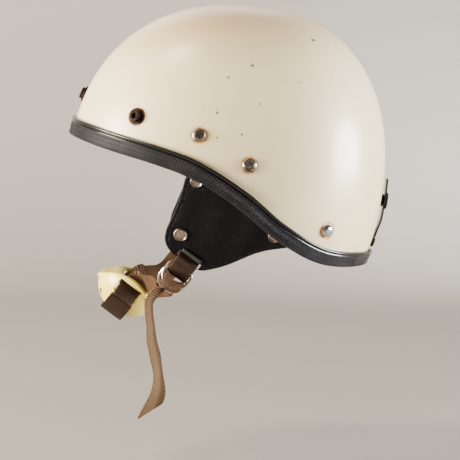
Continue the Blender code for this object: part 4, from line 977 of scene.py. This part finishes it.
def makePads():
    l = lining
    inner = -dome["wall"] - l["curved"] - l["wall"] - l["gap"]

    def crownPlace(sign, s, t):  # a quilted disc under the crown
        edge = max(1 - t ** 8, 0.0) ** 0.5
        quilt = 0.80 + 0.20 * min(1.0, abs(math.sin(math.pi * s * 6)) * 3 * t + (1 - t) ** 4)
        deep = (l["crownWall"] / 2 - 0.0003) * edge * (quilt if sign < 0 else 1.0)
        return domePoint(turnOf(s), l["crownAngle"] * t * 0.985, inner - l["crownWall"] / 2 + sign * deep)
    padOf("quilted_crown_pad", "crown_pad", "helmet", (96, 28), (20, 8), crownPlace, 0.0035, 0.0008)

    face = inner - l["bandWall"] - l["padGap"]
    back, inset = face - l["browWall"], l["padInset"]
    for node, centre in (("brow_pad", -math.pi / 2), ("nape_pad", math.pi / 2)):
        def padPlace(sign, s, t):  # a crowned pad, pulled in towards its four edges
            around = centre + 2 * math.pi * l["padReach"] * (2 * s - 1)
            edge = min(1 - abs(2 * s - 1) ** 10, 1 - abs(2 * t - 1) ** 5)
            quilt = 0.86 + 0.14 * abs(math.sin(math.pi * s * 5)) ** 0.5
            deep = abs(face - back) / 2 * max(edge, 0.0) ** 0.5 * (quilt if sign < 0 else 1)
            rise = l["rise"] + l["bandRise"] + inset + (l["browHeight"] - 2 * inset) * t
            return domePoint(around, risenDown(around, rise), (face + back) / 2 + sign * (deep - 0.0001))
        padOf("stitched_" + node, node, "helmet", (60, 16), (12, 3), padPlace, 0.003, 0.0006)


makeLiner()
makeSweatBand()
makePads()
print("liner, band and pads")

# Ear flaps

flap = dict(
    wall=0.0024, slotRun=0.0365, slotDrop=0.0628, slotHalf=0.0116, slotHeight=0.0060, hem=0.0030,
    outline=((-0.115, -0.07), (-0.11, 0.02), (-0.047, 0.177), (-0.006, 0.312), (0.019, 0.416),
             (0.041, 0.505), (0.075, 0.583), (0.125, 0.637), (0.20, 0.668), (0.30, 0.672),
             (0.42, 0.668), (0.504, 0.648), (0.575, 0.572), (0.65, 0.46), (0.706, 0.349),
             (0.768, 0.223), (0.832, 0.126), (0.90, 0.047), (0.955, -0.02), (0.96, -0.09)),
    snaps=((-0.0014, -0.0014), (0.0803, -0.0032)), button=(0.0169, 0.0475), cells=84, edgeSteps=60, roll=0.0017,
    puff=0.00030, seam=0.00032, seamWidth=0.00055, calm=0.006, slotCalm=0.005, cutDeep=0.012,
    puffReach=0.012, reliefReach=0.008, barHalf=0.0125, barDrop=0.0618, barHeight=0.0065, seeds=(2.9, 1.3))


def alongLine(points, share):  # a smooth curve through points, read at a share of the way
    last = len(points) - 1
    return [smoothBetween(range(last + 1), values, share * last) for values in zip(*points)]


def toLine(point, line):  # distance from a point to a line of points
    best = 1e9
    for (ax, ay), (bx, by) in zip(line, line[1:]):
        dx, dy = bx - ax, by - ay
        s = ((point[0] - ax) * dx + (point[1] - ay) * dy) / max(dx * dx + dy * dy, 1e-12)
        s = min(max(s, 0.0), 1.0)
        best = min(best, math.hypot(point[0] - ax - s * dx, point[1] - ay - s * dy))
    return best


relief = dict(  # millimetres: waves as height, pace along, pace down, phase; folds as height, line, lean and widths
    waves=((0.28, 0.085, 0.12, 1), (0.20, 0.19, -0.07, 2), (0.10, 0.33, 0.41, 3)), foldRun=62,
    folds=((0.55, 58, 0.62, 4.5, 66, 20), (-0.40, 52, 0.60, 3.0, 60, 18)))


def leatherRelief(run, drop, seed):  # slow folds of soft leather, in metres
    a, b = run * 1000, drop * 1000
    height = sum(tall * math.sin(a * along + b * down + turn * seed) for tall, along, down, turn in relief["waves"])
    for tall, line, lean, wide, middle, long in relief["folds"]:
        off = (b - line + (a - relief["foldRun"]) * lean) / wide
        height += tall * math.exp(-off ** 2) * math.exp(-((a - middle) / long) ** 2)
    return height / 1000


def flapPiece(side, word):
    f, reach, steps = flap, harness["reach"], flap["edgeSteps"]
    front = [(a * reach, b * reach) for a, b in f["outline"][:10]]
    rear = [(a * reach, b * reach) for a, b in reversed(f["outline"][9:])]
    edge = [alongLine(front, k / steps) for k in range(steps + 1)]
    edge += [alongLine(rear, 1 - k / steps) for k in range(steps + 1)] + [front[0]]
    half = f["wall"] / 2

    def surface(outer):
        def placeOf(s, t):
            s, t = 0.5 - 0.5 * math.cos(math.pi * s), t ** 0.9
            a, b = alongLine(front, t), alongLine(rear, t)
            run, drop = a[0] + (b[0] - a[0]) * s, a[1] + (b[1] - a[1]) * s
            far = toLine((run, drop), edge)
            thick = half * math.sqrt(max(1 - (1 - min(far / f["roll"], 1.0)) ** 2, 0.0))
            puff = f["puff"] * min(far / f["puffReach"], 1.0)
            hem = -f["seam"] * math.exp(-((far - f["hem"]) / f["seamWidth"]) ** 2)
            calm = 1.0  # no relief under the snaps, the button and the keeper bar
            for spot in (*f["snaps"], f["button"]):
                away = math.hypot(run - spot[0], drop - spot[1])
                calm = min(calm, min(max((away - f["calm"]) / f["calm"], 0.0), 1.0))
            slotFar = max(abs(run - f["slotRun"]) - f["barHalf"], abs(drop - f["barDrop"]) - f["barHeight"])
            calm = min(calm, min(max(slotFar / f["slotCalm"], 0.0), 1.0))
            rise = leatherRelief(run, drop, f["seeds"][outer]) * calm * min(far / f["reliefReach"], 1.0)
            depth = -half + (thick + (puff + rise) * calm + hem if outer else -thick - 0.3 * rise)
            return sided(flapPlace(run, drop, depth), side)
        return formedGrid("flapFace", f["cells"], f["cells"], placeOf, (10, 8), closed=False)
    piece = joined(word + "_leather_flap", surface(True), surface(False))
    sew(piece, within=3e-5)
    carve(piece, bentBlock("slot", lambda x, y, z: sided(flapPlace(
        f["slotRun"] + 2 * x * f["slotHalf"], f["slotDrop"] + y * f["slotHeight"], -half + z * f["cutDeep"]), side)))
    shadeSmooth(piece, 50)
    return finished(piece, looks["softBlack"], "chin_harness", "black_leather", word + "_ear_flap")


def buttonPiece(name, radius, tall, dish):  # sizes in millimetres
    g, foot = fastener["gap"], fastener["washer"]
    back, face = -flap["wall"] * 1000 - g - foot, g + tall
    profile = [(0.7 * radius, back), (0.7 * radius, back + foot), (fastener["shank"], back + foot),
               (fastener["shank"], g), (radius - 0.2, g), (radius, g + 0.25), (radius - 0.05, g + tall * 0.45),
               (radius - 0.5, g + tall * 0.85), (radius - 1.1, face), (radius - 1.5, face - dish),
               (radius * 0.45, face - dish * 0.9), (radius * 0.36, face - dish * 0.2),
               (radius * 0.15, face - dish * 0.1), (0.02, face - dish * 0.1)]
    return lathe(name, profile, 56)


keeper = dict(height=0.0036, wall=0.0020, half=0.0100, play=0.0003, above=0.0008, bevel=0.0005, ridges=9,
              ridgePitch=0.0021, ridgeHalf=0.0006, ridgeTall=0.00028, ridgeLong=0.72)


def keeperPiece(side, word):  # a stiff bar with a knurled face over the slot
    k = keeper
    drop = flap["slotDrop"] - flap["slotHeight"] / 2 - k["height"] / 2 - k["above"]
    bar = bentBlock(word + "_keeper_bar", lambda x, y, z: sided(flapPlace(
        flap["slotRun"] + x, drop + y, k["play"] + k["wall"] / 2 + z), side),
        size=(2 * k["half"], k["height"], k["wall"]), bevel=k["bevel"])
    ridges = []
    for number in range(k["ridges"]):
        middle = flap["slotRun"] + (number - (k["ridges"] - 1) / 2) * k["ridgePitch"]

        def placeOf(s, t):
            angle = 2 * math.pi * t
            tall = k["ridgeTall"] * math.sin(math.pi * min(max(s, 0.0), 1.0)) ** 0.4
            return sided(flapPlace(middle + k["ridgeHalf"] * math.cos(angle),
                                   drop + (s - 0.5) * k["height"] * k["ridgeLong"],
                                   k["play"] + k["wall"] + tall * math.sin(angle)), side)
        ridges.append(formedGrid("ridge", 6, 8, placeOf))
    bar = joined(word + "_keeper_bar", *ridges, bar)
    shadeSmooth(bar, 40)
    return finished(bar, looks["bar"], "chin_harness", "black_rubber", word + "_strap_keeper")


def makeFlaps():
    snap, button = buttonPiece("snapPattern", 5.6, 1.6, 0.35), buttonPiece("buttonPattern", 6.2, 1.8, 0.30)
    for side, word in ((1, "left"), (-1, "right")):
        flapPiece(side, word)
        keeperPiece(side, word)
        axis = sided(flapWay(0, 0, 1), side)
        spots = dict(front_snap=(snap, flap["snaps"][0]), rear_snap=(snap, flap["snaps"][1]),
                     cheek_button=(button, flap["button"]))
        for name, (pattern, spot) in spots.items():
            piece = copyOf(pattern, f"{word}_{name}_cap", frameOn(sided(flapPlace(*spot, 0), side), axis))
            finished(piece, looks["steel"], "chin_harness", "plated_steel", f"{word}_{name}")
    removed(snap)
    removed(button)


makeFlaps()
print("ear flaps")

# Straps

strap = dict(
    width=0.0200, wall=0.0015, edge=0.00045, lowered=0.20, seatGap=0.0022, hiddenReach=0.0052, run=0.365,
    flat=10, round=4, fineness=24,
    channel=(0.320, 0.05, -0.042), behind=((0.35, -0.042), (0.52, -0.042)),
    slot=((0.585, -0.042), (0.606, -0.034), (0.628, -0.012), (0.650, 0.010)),
    bars=(0.722, 0.792), barDepth=0.008, barPlay=0.0003, wire=0.0012, slack=0.0005,
    entry=(0.69, 0.022), back=((0.69, -0.036), (0.66, -0.052), (0.60, -0.062), (0.50, -0.063)),
    cheek=(((0.326, 0.100, 1.182), (0.0, 1.0, 0.0)), ((0.294, 0.106, 1.120), (0.0, 1.0, 0.05)),
           ((0.284, 0.132, 1.050), (0.02, 0.97, 0.20)), ((0.318, 0.172, 1.027), (0.05, 0.94, 0.33)),
           ((0.398, 0.208, 1.018), (0.12, 0.85, 0.50)), ((0.490, 0.262, 0.985), (0.15, 0.85, 0.50))),
    buckle=((1.035, -0.058), (0.985, -0.047), (0.935, -0.010), (0.880, 0.030), (0.838, 0.068),
            (0.842, 0.108), (0.875, 0.138), (0.915, 0.128), (0.930, 0.092), (0.932, 0.060)),
    curls=(0, 0.0008, 0.0026, 0.0040, 0.0043, 0.0043, 0.0043, 0.0043, 0.0036, 0.0024),
    rightFlap=((0.365, 0.72, 0.012), (0.350, 0.83, -0.02)), rightCheek=((0.610, 0.310, 0.900), (0.0, 0.98, 0.2)),
    arcReach=1.075, bunched=0.92, thinned=(0.62, 0.60, 0.62, 0.74, 0.88, 1, 1, 1, 1, 1), slant=0.018, slantStart=0.62,
    tail=(((0.222, 0.290, 0.921), (0.55, -0.45, -0.45)), ((0.247, 0.285, 1.060), (0.62, -0.50, -0.20)),
          ((0.277, 0.330, 1.145), (0.75, -0.45, 0.10)), ((0.307, 0.420, 1.245), (0.88, -0.38, 0.15)),
          ((0.327, 0.510, 1.350), (0.87, -0.42, 0.15)), ((0.342, 0.630, 1.455), (0.86, -0.44, 0.10)),
          ((0.352, 0.735, 1.560), (0.86, -0.42, 0.0)), ((0.357, 0.812, 1.670), (0.74, -0.52, 0.10)),
          ((0.367, 0.850, 1.765), (0.64, -0.62, 0.36)), ((0.377, 0.874, 1.866), (0.60, -0.62, 0.48))))
cup = dict(radius=0.0360, halfLength=0.0320, power=2.3, wall=0.0024, bead=0.0021, saddle=0.0170, padWall=0.0030,
           gap=0.0011, run=0.0100, drop=0.1070, slotAngle=1.25, slotLength=0.0142, slotHalf=0.0116,
           sleeveWall=0.0007, sleevePlay=0.0003, sleeveReach=1.02, padReach=0.55, padPlay=0.0003, rim=0.985,
           cutDeep=0.012, ventCut=0.010, lipFrom=0.44, lipShare=0.12, lipTurn=0.55, lipOut=0.0007, lipUp=0.0002,
           seam=0.00018, seamIn=0.0016, seamWidth=0.0004, widthRound=0.16, wallRound=0.22, padEdge=0.96,
           ventTurn=1.03, ventDeep=0.59, ventWidth=0.0052, ventLength=0.0046)


def strapStation(run, drop, depth, share=1.0):
    reach = harness["reach"]
    return flapPlace(run * reach, drop * reach, depth * reach), flapWay(1, 0, 0) * share


def slotStation(drop, depth, share=1.0):
    return strapStation(strap["run"], drop, depth, share)


def hiddenStations():
    place, axis = seats["left_strap_rivet"]
    top = place - axis * (dome["wall"] + strap["seatGap"] + strap["wall"] / 2)
    along, across = harnessWay(0, 0, 1), harnessWay(0, 1, 0)
    reach = along * strap["hiddenReach"]
    stations = [(top - reach, across), (top + reach, across), strapStation(*strap["channel"])]
    return stations + [slotStation(*shares) for shares in strap["behind"]]


def cupPlace(across, run, drop):
    return harnessPlace(across, cup["run"] + run, cup["drop"] + drop)


def arcStation(angle, radius):
    return cupPlace(radius * math.sin(angle), 0.0, radius * math.cos(angle)), harnessWay(0, 1, 0)


def cheekStation(place, across):
    return harnessPlace(*[v * harness["reach"] for v in place]), harnessWay(*across)


def strapRoute(stations, steps):  # place, width direction and curl, evenly spaced along, with the length
    table = [(*station[0], *station[1], station[2] if len(station) > 2 else 0.0) for station in stations]
    count = (len(table) - 1) * strap["fineness"]
    fine = [alongLine(table, k / count) for k in range(count + 1)]
    lengths = lengthsAlong([Vector(read[:3]) for read in fine])
    route, i = [], 0
    for k in range(steps + 1):
        want = lengths[-1] * k / steps
        while i < len(lengths) - 2 and lengths[i + 1] < want:
            i += 1
        share = (want - lengths[i]) / max(lengths[i + 1] - lengths[i], 1e-9)
        route.append([a + (b - a) * share for a, b in zip(fine[i], fine[i + 1])])
    return route, lengths[-1]


def strapPiece(name, stations, steps, rib=0.0, pitch=0.002, slant=0.0, width=strap["width"], wall=strap["wall"]):
    # a strap with rounded edges; rib is the height of its cross ribs and slant the lean of its far end
    route, length = strapRoute(stations, steps)
    half, wall, bend = width / 2, wall / 2, strap["edge"]
    section = []
    for side in (1, -1):
        section += [(side * (1 - 2 * k / strap["flat"]), side) for k in range(strap["flat"] + 1)]
        section += [(-side, side * math.cos(math.pi * k / strap["round"])) for k in range(1, strap["round"])]
    count = len(section)
    rings, curlWay = [], flapWay(0, -1, 0)
    for k, read in enumerate(route):
        before, after = route[max(k - 1, 0)], route[min(k + 1, steps)]
        forward = (Vector(after[:3]) - Vector(before[:3])).normalized()
        across = Vector(read[3:6])
        full = half * across.length
        across = (across - forward * across.dot(forward)).normalized()
        face = forward.cross(across)
        late = max(k / steps - strap["slantStart"], 0) / (1 - strap["slantStart"])
        ribbed = rib * (abs(math.sin(math.pi * length * k / steps / pitch)) ** 0.8 - 0.6) if rib else 0.0
        ring = []
        for w, t in section:
            edge = 1.0 - strap["lowered"] * max((abs(w) - 0.82) / 0.18, 0.0) ** 2
            rounding = bend * math.sqrt(max(1 - t * t, 0)) * math.copysign(1, w) if abs(w) == 1.0 else 0.0
            point = Vector(read[:3]) + across * (w * (full - bend) + rounding)
            point += face * (t * wall * edge + math.copysign(1, t) * ribbed * abs(t))
            ring.append(point + forward * (slant / 2 * late * late * w) + curlWay * (read[6] * w * w))
        rings.append(ring)
    piece = ringGrid(name, rings, smooth=45)
    rounds = lengthsAlong([Vector((w * half, t * wall)) * 100 for w, t in [*section, section[0]]])
    for corner in piece.data.uv_layers.active.data:
        corner.uv = (corner.uv[0] * length * 100, rounds[round(corner.uv[1] * count)])
    return piece


def pierce(piece, side):
    place, axis = seats["left_strap_rivet"]
    dropSelection()
    bpy.ops.mesh.primitive_cylinder_add(vertices=32, radius=0.0021, depth=0.012)
    cutter = bpy.context.object
    atFrame(cutter, frameOn(sided(place - axis * 0.0067, side), sided(axis, side)))
    return carve(piece, cutter)


def makeAnchorStrap():
    barA, barB = strap["bars"]
    turn = (strap["wire"] + strap["barPlay"] + strap["wall"] / 2 + strap["slack"]) / harness["reach"]
    slant, depth = turn * math.sqrt(0.5), strap["barDepth"]
    loop = [strap["entry"], (barA, depth + turn), (barB, depth + turn), (barB + slant, depth + slant),
            (barB + turn, depth), (barB + slant, depth - slant), (barB, depth - turn), (barA, depth - turn)]
    stations = hiddenStations() + [slotStation(*s) for s in [*strap["slot"], *loop, *strap["back"]]]
    piece = pierce(strapPiece("leather_anchor_strap", stations, 260), 1)
    shadeSmooth(piece, 45)
    return finished(piece, looks["brown"], "chin_harness", "brown_leather", "left_anchor_strap")


def makeChinStrap():
    cheek = [cheekStation(*spot) for spot in strap["cheek"]]
    down = hiddenStations() + [slotStation(*s) for s in strap["slot"]]
    down += [strapStation(*s) for s in strap["rightFlap"]] + [cheekStation(*strap["rightCheek"])]
    right = [(sided(p, -1), sided(a, -1)) for p, a in reversed([*cheek, *reversed(down)])]
    radius = cup["radius"] + cup["gap"] + strap["wall"] / 2
    arc = [arcStation(strap["arcReach"] * (i / 6 - 1), radius) for i in range(13)]
    left = [(*slotStation(*s, strap["bunched"]), curl) for s, curl in zip(strap["buckle"], strap["curls"])]
    piece = strapPiece("webbing_chin_strap", right + arc + cheek + left, 1900, rib=0.00016, pitch=0.0013)
    pierce(piece, -1)
    shadeSmooth(piece, 60)
    return finished(piece, looks["fineWebbing"], "chin_harness", "webbing", "chin_strap")


def makeTail():
    reach = harness["reach"]
    stations = []
    for ((inward, run, drop), across), share in zip(strap["tail"], strap["thinned"]):
        place = harnessPlace(harness["flapFace"] - inward * reach, run * reach, drop * reach)
        stations.append((place, harnessWay(*across) * share))
    piece = strapPiece("webbing_tail", stations, 520, rib=0.00045, pitch=0.0024, slant=strap["slant"])
    shadeSmooth(piece, 60)
    piece.data.materials.clear()
    piece.data.materials.append(looks["webbing"])
    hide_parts("strap_tail")
    top = stations[0][0]
    tuple(top + Vector((0, 0, -0.006)))
    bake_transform(piece)
    return piece


makeAnchorStrap()
makeChinStrap()
makeTail()
print("straps")

# Buckle rings

ring = dict(wire=0.0012, depth=0.0200, play=0.0008, splay=0.45, sink=-0.07, corner=0.0034, turns=(0.39, 0.79, 1.18))


def ringPiece(name, dropShare, tilt, body, node):
    half, corner = strap["width"] / 2 + ring["play"] + ring["wire"], ring["corner"]
    arm = ring["depth"] - half
    outline = [(-half + corner, 0.0), (half - corner, 0.0)]
    outline += [(half - corner * (1 - math.sin(a)), corner * (1 - math.cos(a))) for a in (*ring["turns"], 1.57)]
    outline += [(half * math.cos(math.pi * i / 24), arm + half * math.sin(math.pi * i / 24)) for i in range(25)]
    outline += [(-half + corner * (1 - math.cos(a)), corner * (1 - math.sin(a))) for a in (0.0, *ring["turns"])]
    cosine, sine, share = math.cos(tilt), math.sin(tilt), harness["reach"]
    line = [flapPlace(strap["run"] * share + run, dropShare * share + reach * cosine,
                      strap["barDepth"] * share + reach * sine) for run, reach in outline]
    up, count = flapWay(0, -sine, cosine), len(line)
    closed = [*line, line[0]]
    lengths, ways = lengthsAlong(closed), [(b - a).normalized() for a, b in zip(closed, closed[1:])]

    def placeOf(s, t):
        want = (s % 1.0) * lengths[-1]
        i = max(k for k in range(count) if lengths[k] <= want + 1e-12)
        share = (want - lengths[i]) / (lengths[i + 1] - lengths[i])
        before, forward, after = ways[i - 1], ways[i], ways[(i + 1) % count]
        way = ((before + forward) * (1 - share) + (forward + after) * share).normalized()
        angle = 2 * math.pi * t
        place = closed[i] + (closed[i + 1] - closed[i]) * share
        return place + (way.cross(up).normalized() * math.cos(angle) + up * math.sin(angle)) * ring["wire"]
    piece = formedGrid(name, 180, 16, placeOf, (8, 0.8), smooth=60)
    return finished(piece, looks["wire"], body, "plated_steel", node)


ringPiece("inner_wire_ring", strap["bars"][0], ring["splay"], "inner_ring", "inner_d_ring")
ringPiece("outer_wire_ring", strap["bars"][1], ring["sink"], "outer_ring", "outer_d_ring")
print("rings")

# Chin cup


def cupSurface(turn, deep, grown):
    share = cup["saddle"] / cup["radius"] * math.sin(turn) ** 2
    tilt = deep * math.acos(min(max(share, 0.0), 0.9))
    out = abs(math.sin(tilt)) ** (2 / cup["power"])
    return cupPlace(math.cos(turn) * math.sin(tilt) * (cup["radius"] + grown),
                    math.sin(turn) * out * (cup["halfLength"] + grown), math.cos(tilt) * (cup["radius"] + grown))


def makeCup():
    wall, bead, reach, start = cup["wall"], cup["bead"], cup["rim"], cup["lipFrom"]

    def placeOf(s, t):
        turn = turnOf(s)
        if t < start:
            return cupSurface(turn, t / start * reach, 0.0)
        if t > start + cup["lipShare"]:
            return cupSurface(turn, (1 - t) / start * reach, -wall)
        outer, inner = cupSurface(turn, reach, 0.0), cupSurface(turn, reach, -wall)
        up = (cupSurface(turn, 1.0, -wall / 2) - cupSurface(turn, 0.93, -wall / 2)).normalized()
        side = (outer - inner).normalized()
        angle = (t - start) / cup["lipShare"] * (math.pi + cup["lipTurn"]) - cup["lipTurn"]
        middle = (outer + inner) / 2 + side * cup["lipOut"] + up * cup["lipUp"]
        return middle + side * bead * math.cos(angle) + up * bead * math.sin(angle)
    piece = formedGrid("ivory_chin_cup", 160, 100, placeOf, (22, 12), smooth=60)
    for side in (1, -1):
        def slotPlace(x, y, z):
            radius = cup["radius"] + z * cup["cutDeep"]
            angle = cup["slotAngle"] + y * cup["slotLength"] / cup["radius"]
            return cupPlace(side * radius * math.sin(angle), 2 * x * cup["slotHalf"], radius * math.cos(angle))

        def ventPlace(x, y, z):
            turn = -math.pi / 2 + side * (math.pi / 2 - cup["ventTurn"]) + x * cup["ventWidth"] / cup["halfLength"]
            return cupSurface(turn, cup["ventDeep"] + y * cup["ventLength"] / cup["radius"], z * cup["ventCut"])
        carve(piece, bentBlock("slot", slotPlace, cuts=4))
        carve(piece, bentBlock("vent", ventPlace, cuts=4))
    shadeSmooth(piece, 40)
    return finished(piece, looks["cup"], "cup", "cup_plastic", "chin_cup")


def makeCupPad():
    outer = -cup["wall"] - cup["padPlay"]
    inner = outer - cup["padWall"]

    def padPlace(sign, s, t):
        edge = max(1 - t ** 6, 0.0) ** 0.5
        quilt = 0.75 + 0.25 * abs(math.cos(math.pi * 2 * t)) if sign < 0 else 1.0
        grown = (outer + inner) / 2 + sign * (outer - inner) / 2 * edge * quilt * cup["padEdge"]
        return cupSurface(turnOf(s), cup["padReach"] * t * 0.985, grown)
    padOf("soft_cup_pad", "chin_cup_pad", "cup", (72, 20), (8, 4), padPlace, 0.002, 0.0003)


def makeSleeve():
    radius = cup["radius"] + cup["gap"] + strap["wall"] / 2
    halfWidth, halfWall = strap["width"] / 2 + cup["sleevePlay"], strap["wall"] / 2 + cup["sleevePlay"]
    grown = cup["sleeveWall"]

    def placeOf(s, t):
        angle = cup["sleeveReach"] * (2 * s - 1)
        place, across = arcStation(angle, radius)
        out = (arcStation(angle, 2 * radius)[0] - place).normalized()
        c, q = math.cos(2 * math.pi * t), math.sin(2 * math.pi * t)
        w = signedPower(c, cup["widthRound"]) * (halfWidth + grown)
        thick = halfWall + (grown if q > 0 else grown / 3)
        seamFar = (abs(w) - halfWidth + cup["seamIn"]) / cup["seamWidth"]
        seam = cup["seam"] * math.exp(-seamFar ** 2) if q > 0 else 0.0
        return place + across * w + out * (signedPower(q, cup["wallRound"]) * thick - seam)
    piece = formedGrid("leather_cup_sleeve", 96, 96, placeOf, (7, 5), smooth=50)
    return finished(piece, looks["sleeve"], "chin_harness", "brown_leather", "cup_sleeve")


makeCup()
makeCupPad()
makeSleeve()
print("chin cup")

# Goggle keeper at the rear

goggle = dict(width=0.0180, wall=0.0014, baseWall=0.0008, socketWall=0.0009, capRadius=7.5, bulge=-0.0012,
              clipHeight=0.0084, clipWall=0.0012, clipBevel=0.00045, curved=0.0008, play=0.0009, over=0.0006,
              tipRise=0.0722, hole=0.0033)


def turned(name, profile, body, node, place, axis, sides):  # a brown turned piece set on its seat
    pattern = lathe(name + "Pattern", profile, sides)
    finished(copyOf(pattern, name, frameOn(place, axis)), looks["bronze"], body, "brown_metal", node)
    removed(pattern)


def goggleStations():
    g = goggle
    place, axis = seats["goggle_snap_stud"]
    lowPlace, lowAxis = seats["goggle_strap_rivet"]
    middle = g["play"] + g["baseWall"] + g["socketWall"] + g["wall"] / 2
    up = Vector((0, -lowAxis.z, lowAxis.y)).normalized()
    fall = Vector((0, axis.z, -axis.y)).normalized()
    low, lowWay = rearSeat(rearRises["rivet"] + 1.3 * g["clipHeight"])
    between, betweenAxis = rearSeat((rearRises["stud"] + rearRises["rivet"]) / 2)
    tip, tipAxis = rearSeat(g["tipRise"])
    foot = lowPlace + lowAxis * (g["curved"] + g["wall"] / 2) + up * (g["clipHeight"] / 2 + g["over"])
    places = [foot, low + lowWay * (middle + g["bulge"]), between + betweenAxis * middle]
    places += [place + axis * middle + fall * share * g["capRadius"] / 1000 for share in (1.6, 1, 0, -1)]
    return [(spot, Vector((1, 0, 0))) for spot in [*places, tip + tipAxis * middle]]


def makeGoggleKeeper():
    g, gap, shank = goggle, fastener["gap"], fastener["shank"]
    tongue = strapPiece("leather_goggle_tongue", goggleStations(), 90, width=g["width"], wall=g["wall"])
    place, axis = seats["goggle_snap_stud"]
    dropSelection()
    bpy.ops.mesh.primitive_cylinder_add(vertices=48, radius=g["hole"], depth=0.012)
    carve(tongue, atFrame(bpy.context.object, frameOn(place + axis * 0.003, axis)))
    shadeSmooth(tongue, 45)
    finished(tongue, looks["softBlack"], "goggle_keeper", "black_leather", "goggle_strap")

    # heights over the shell in millimetres: the stud, the tongue's underside and its face
    top, under = gap + g["baseWall"] * 1000, (g["play"] + g["baseWall"] + g["socketWall"]) * 1000
    over, r = under + g["wall"] * 1000, g["capRadius"]
    head, foot = (g["curved"] + g["clipWall"]) * 1000 + gap, (shank, shankFoot())
    cap = [(2.6, top + 0.3), (5.4, top + 0.3), (5.4, under - 0.3), (3.0, under - 0.3), (3.0, over + 0.3),
           (r - 0.3, over + 0.3), (r, over + 0.6), (r, over + 1.1), (r - 0.6, over + 1.75), (r - 1.6, over + 2.1),
           (r - 3.4, over + 2.2), (0.02, over + 2.2)]
    stud = [foot, (shank, gap), (5.8, gap), (6.0, 0.5), (6.0, 0.9), (5.8, top), (2.2, top), (2.0, 1.3), (2.0, 2.0),
            (1.8, 2.2), (0.02, 2.2)]
    rivet = [foot, (shank, head), (3.9, head), (4.0, head + 0.2), (3.9, head + 0.6), (3.3, head + 1.1),
             (2.0, head + 1.35), (0.02, head + 1.4)]
    lowPlace, lowAxis = seats["goggle_strap_rivet"]
    turned("brown_snap_cap", cap, "goggle_keeper", "goggle_snap_cap", place, axis, 64)
    turned("brown_snap_base", stud, "helmet", "goggle_snap_stud", place, axis, 48)
    up = Vector((0, -lowAxis.z, lowAxis.y)).normalized()
    clip = bentBlock("brown_goggle_clip", lambda x, y, z: lowPlace + Vector((x, 0, 0)) + up * y
                     + lowAxis * (g["curved"] + g["clipWall"] / 2 + z),
                     size=(g["width"], g["clipHeight"], g["clipWall"]), bevel=g["clipBevel"])
    shadeSmooth(clip, 40)
    finished(clip, looks["bronze"], "helmet", "brown_metal", "goggle_strap_clip")
    turned("goggle_rivet_head", rivet, "helmet", "goggle_strap_rivet", lowPlace, lowAxis, 40)


makeGoggleKeeper()
print("goggle keeper")

print("pieces done")
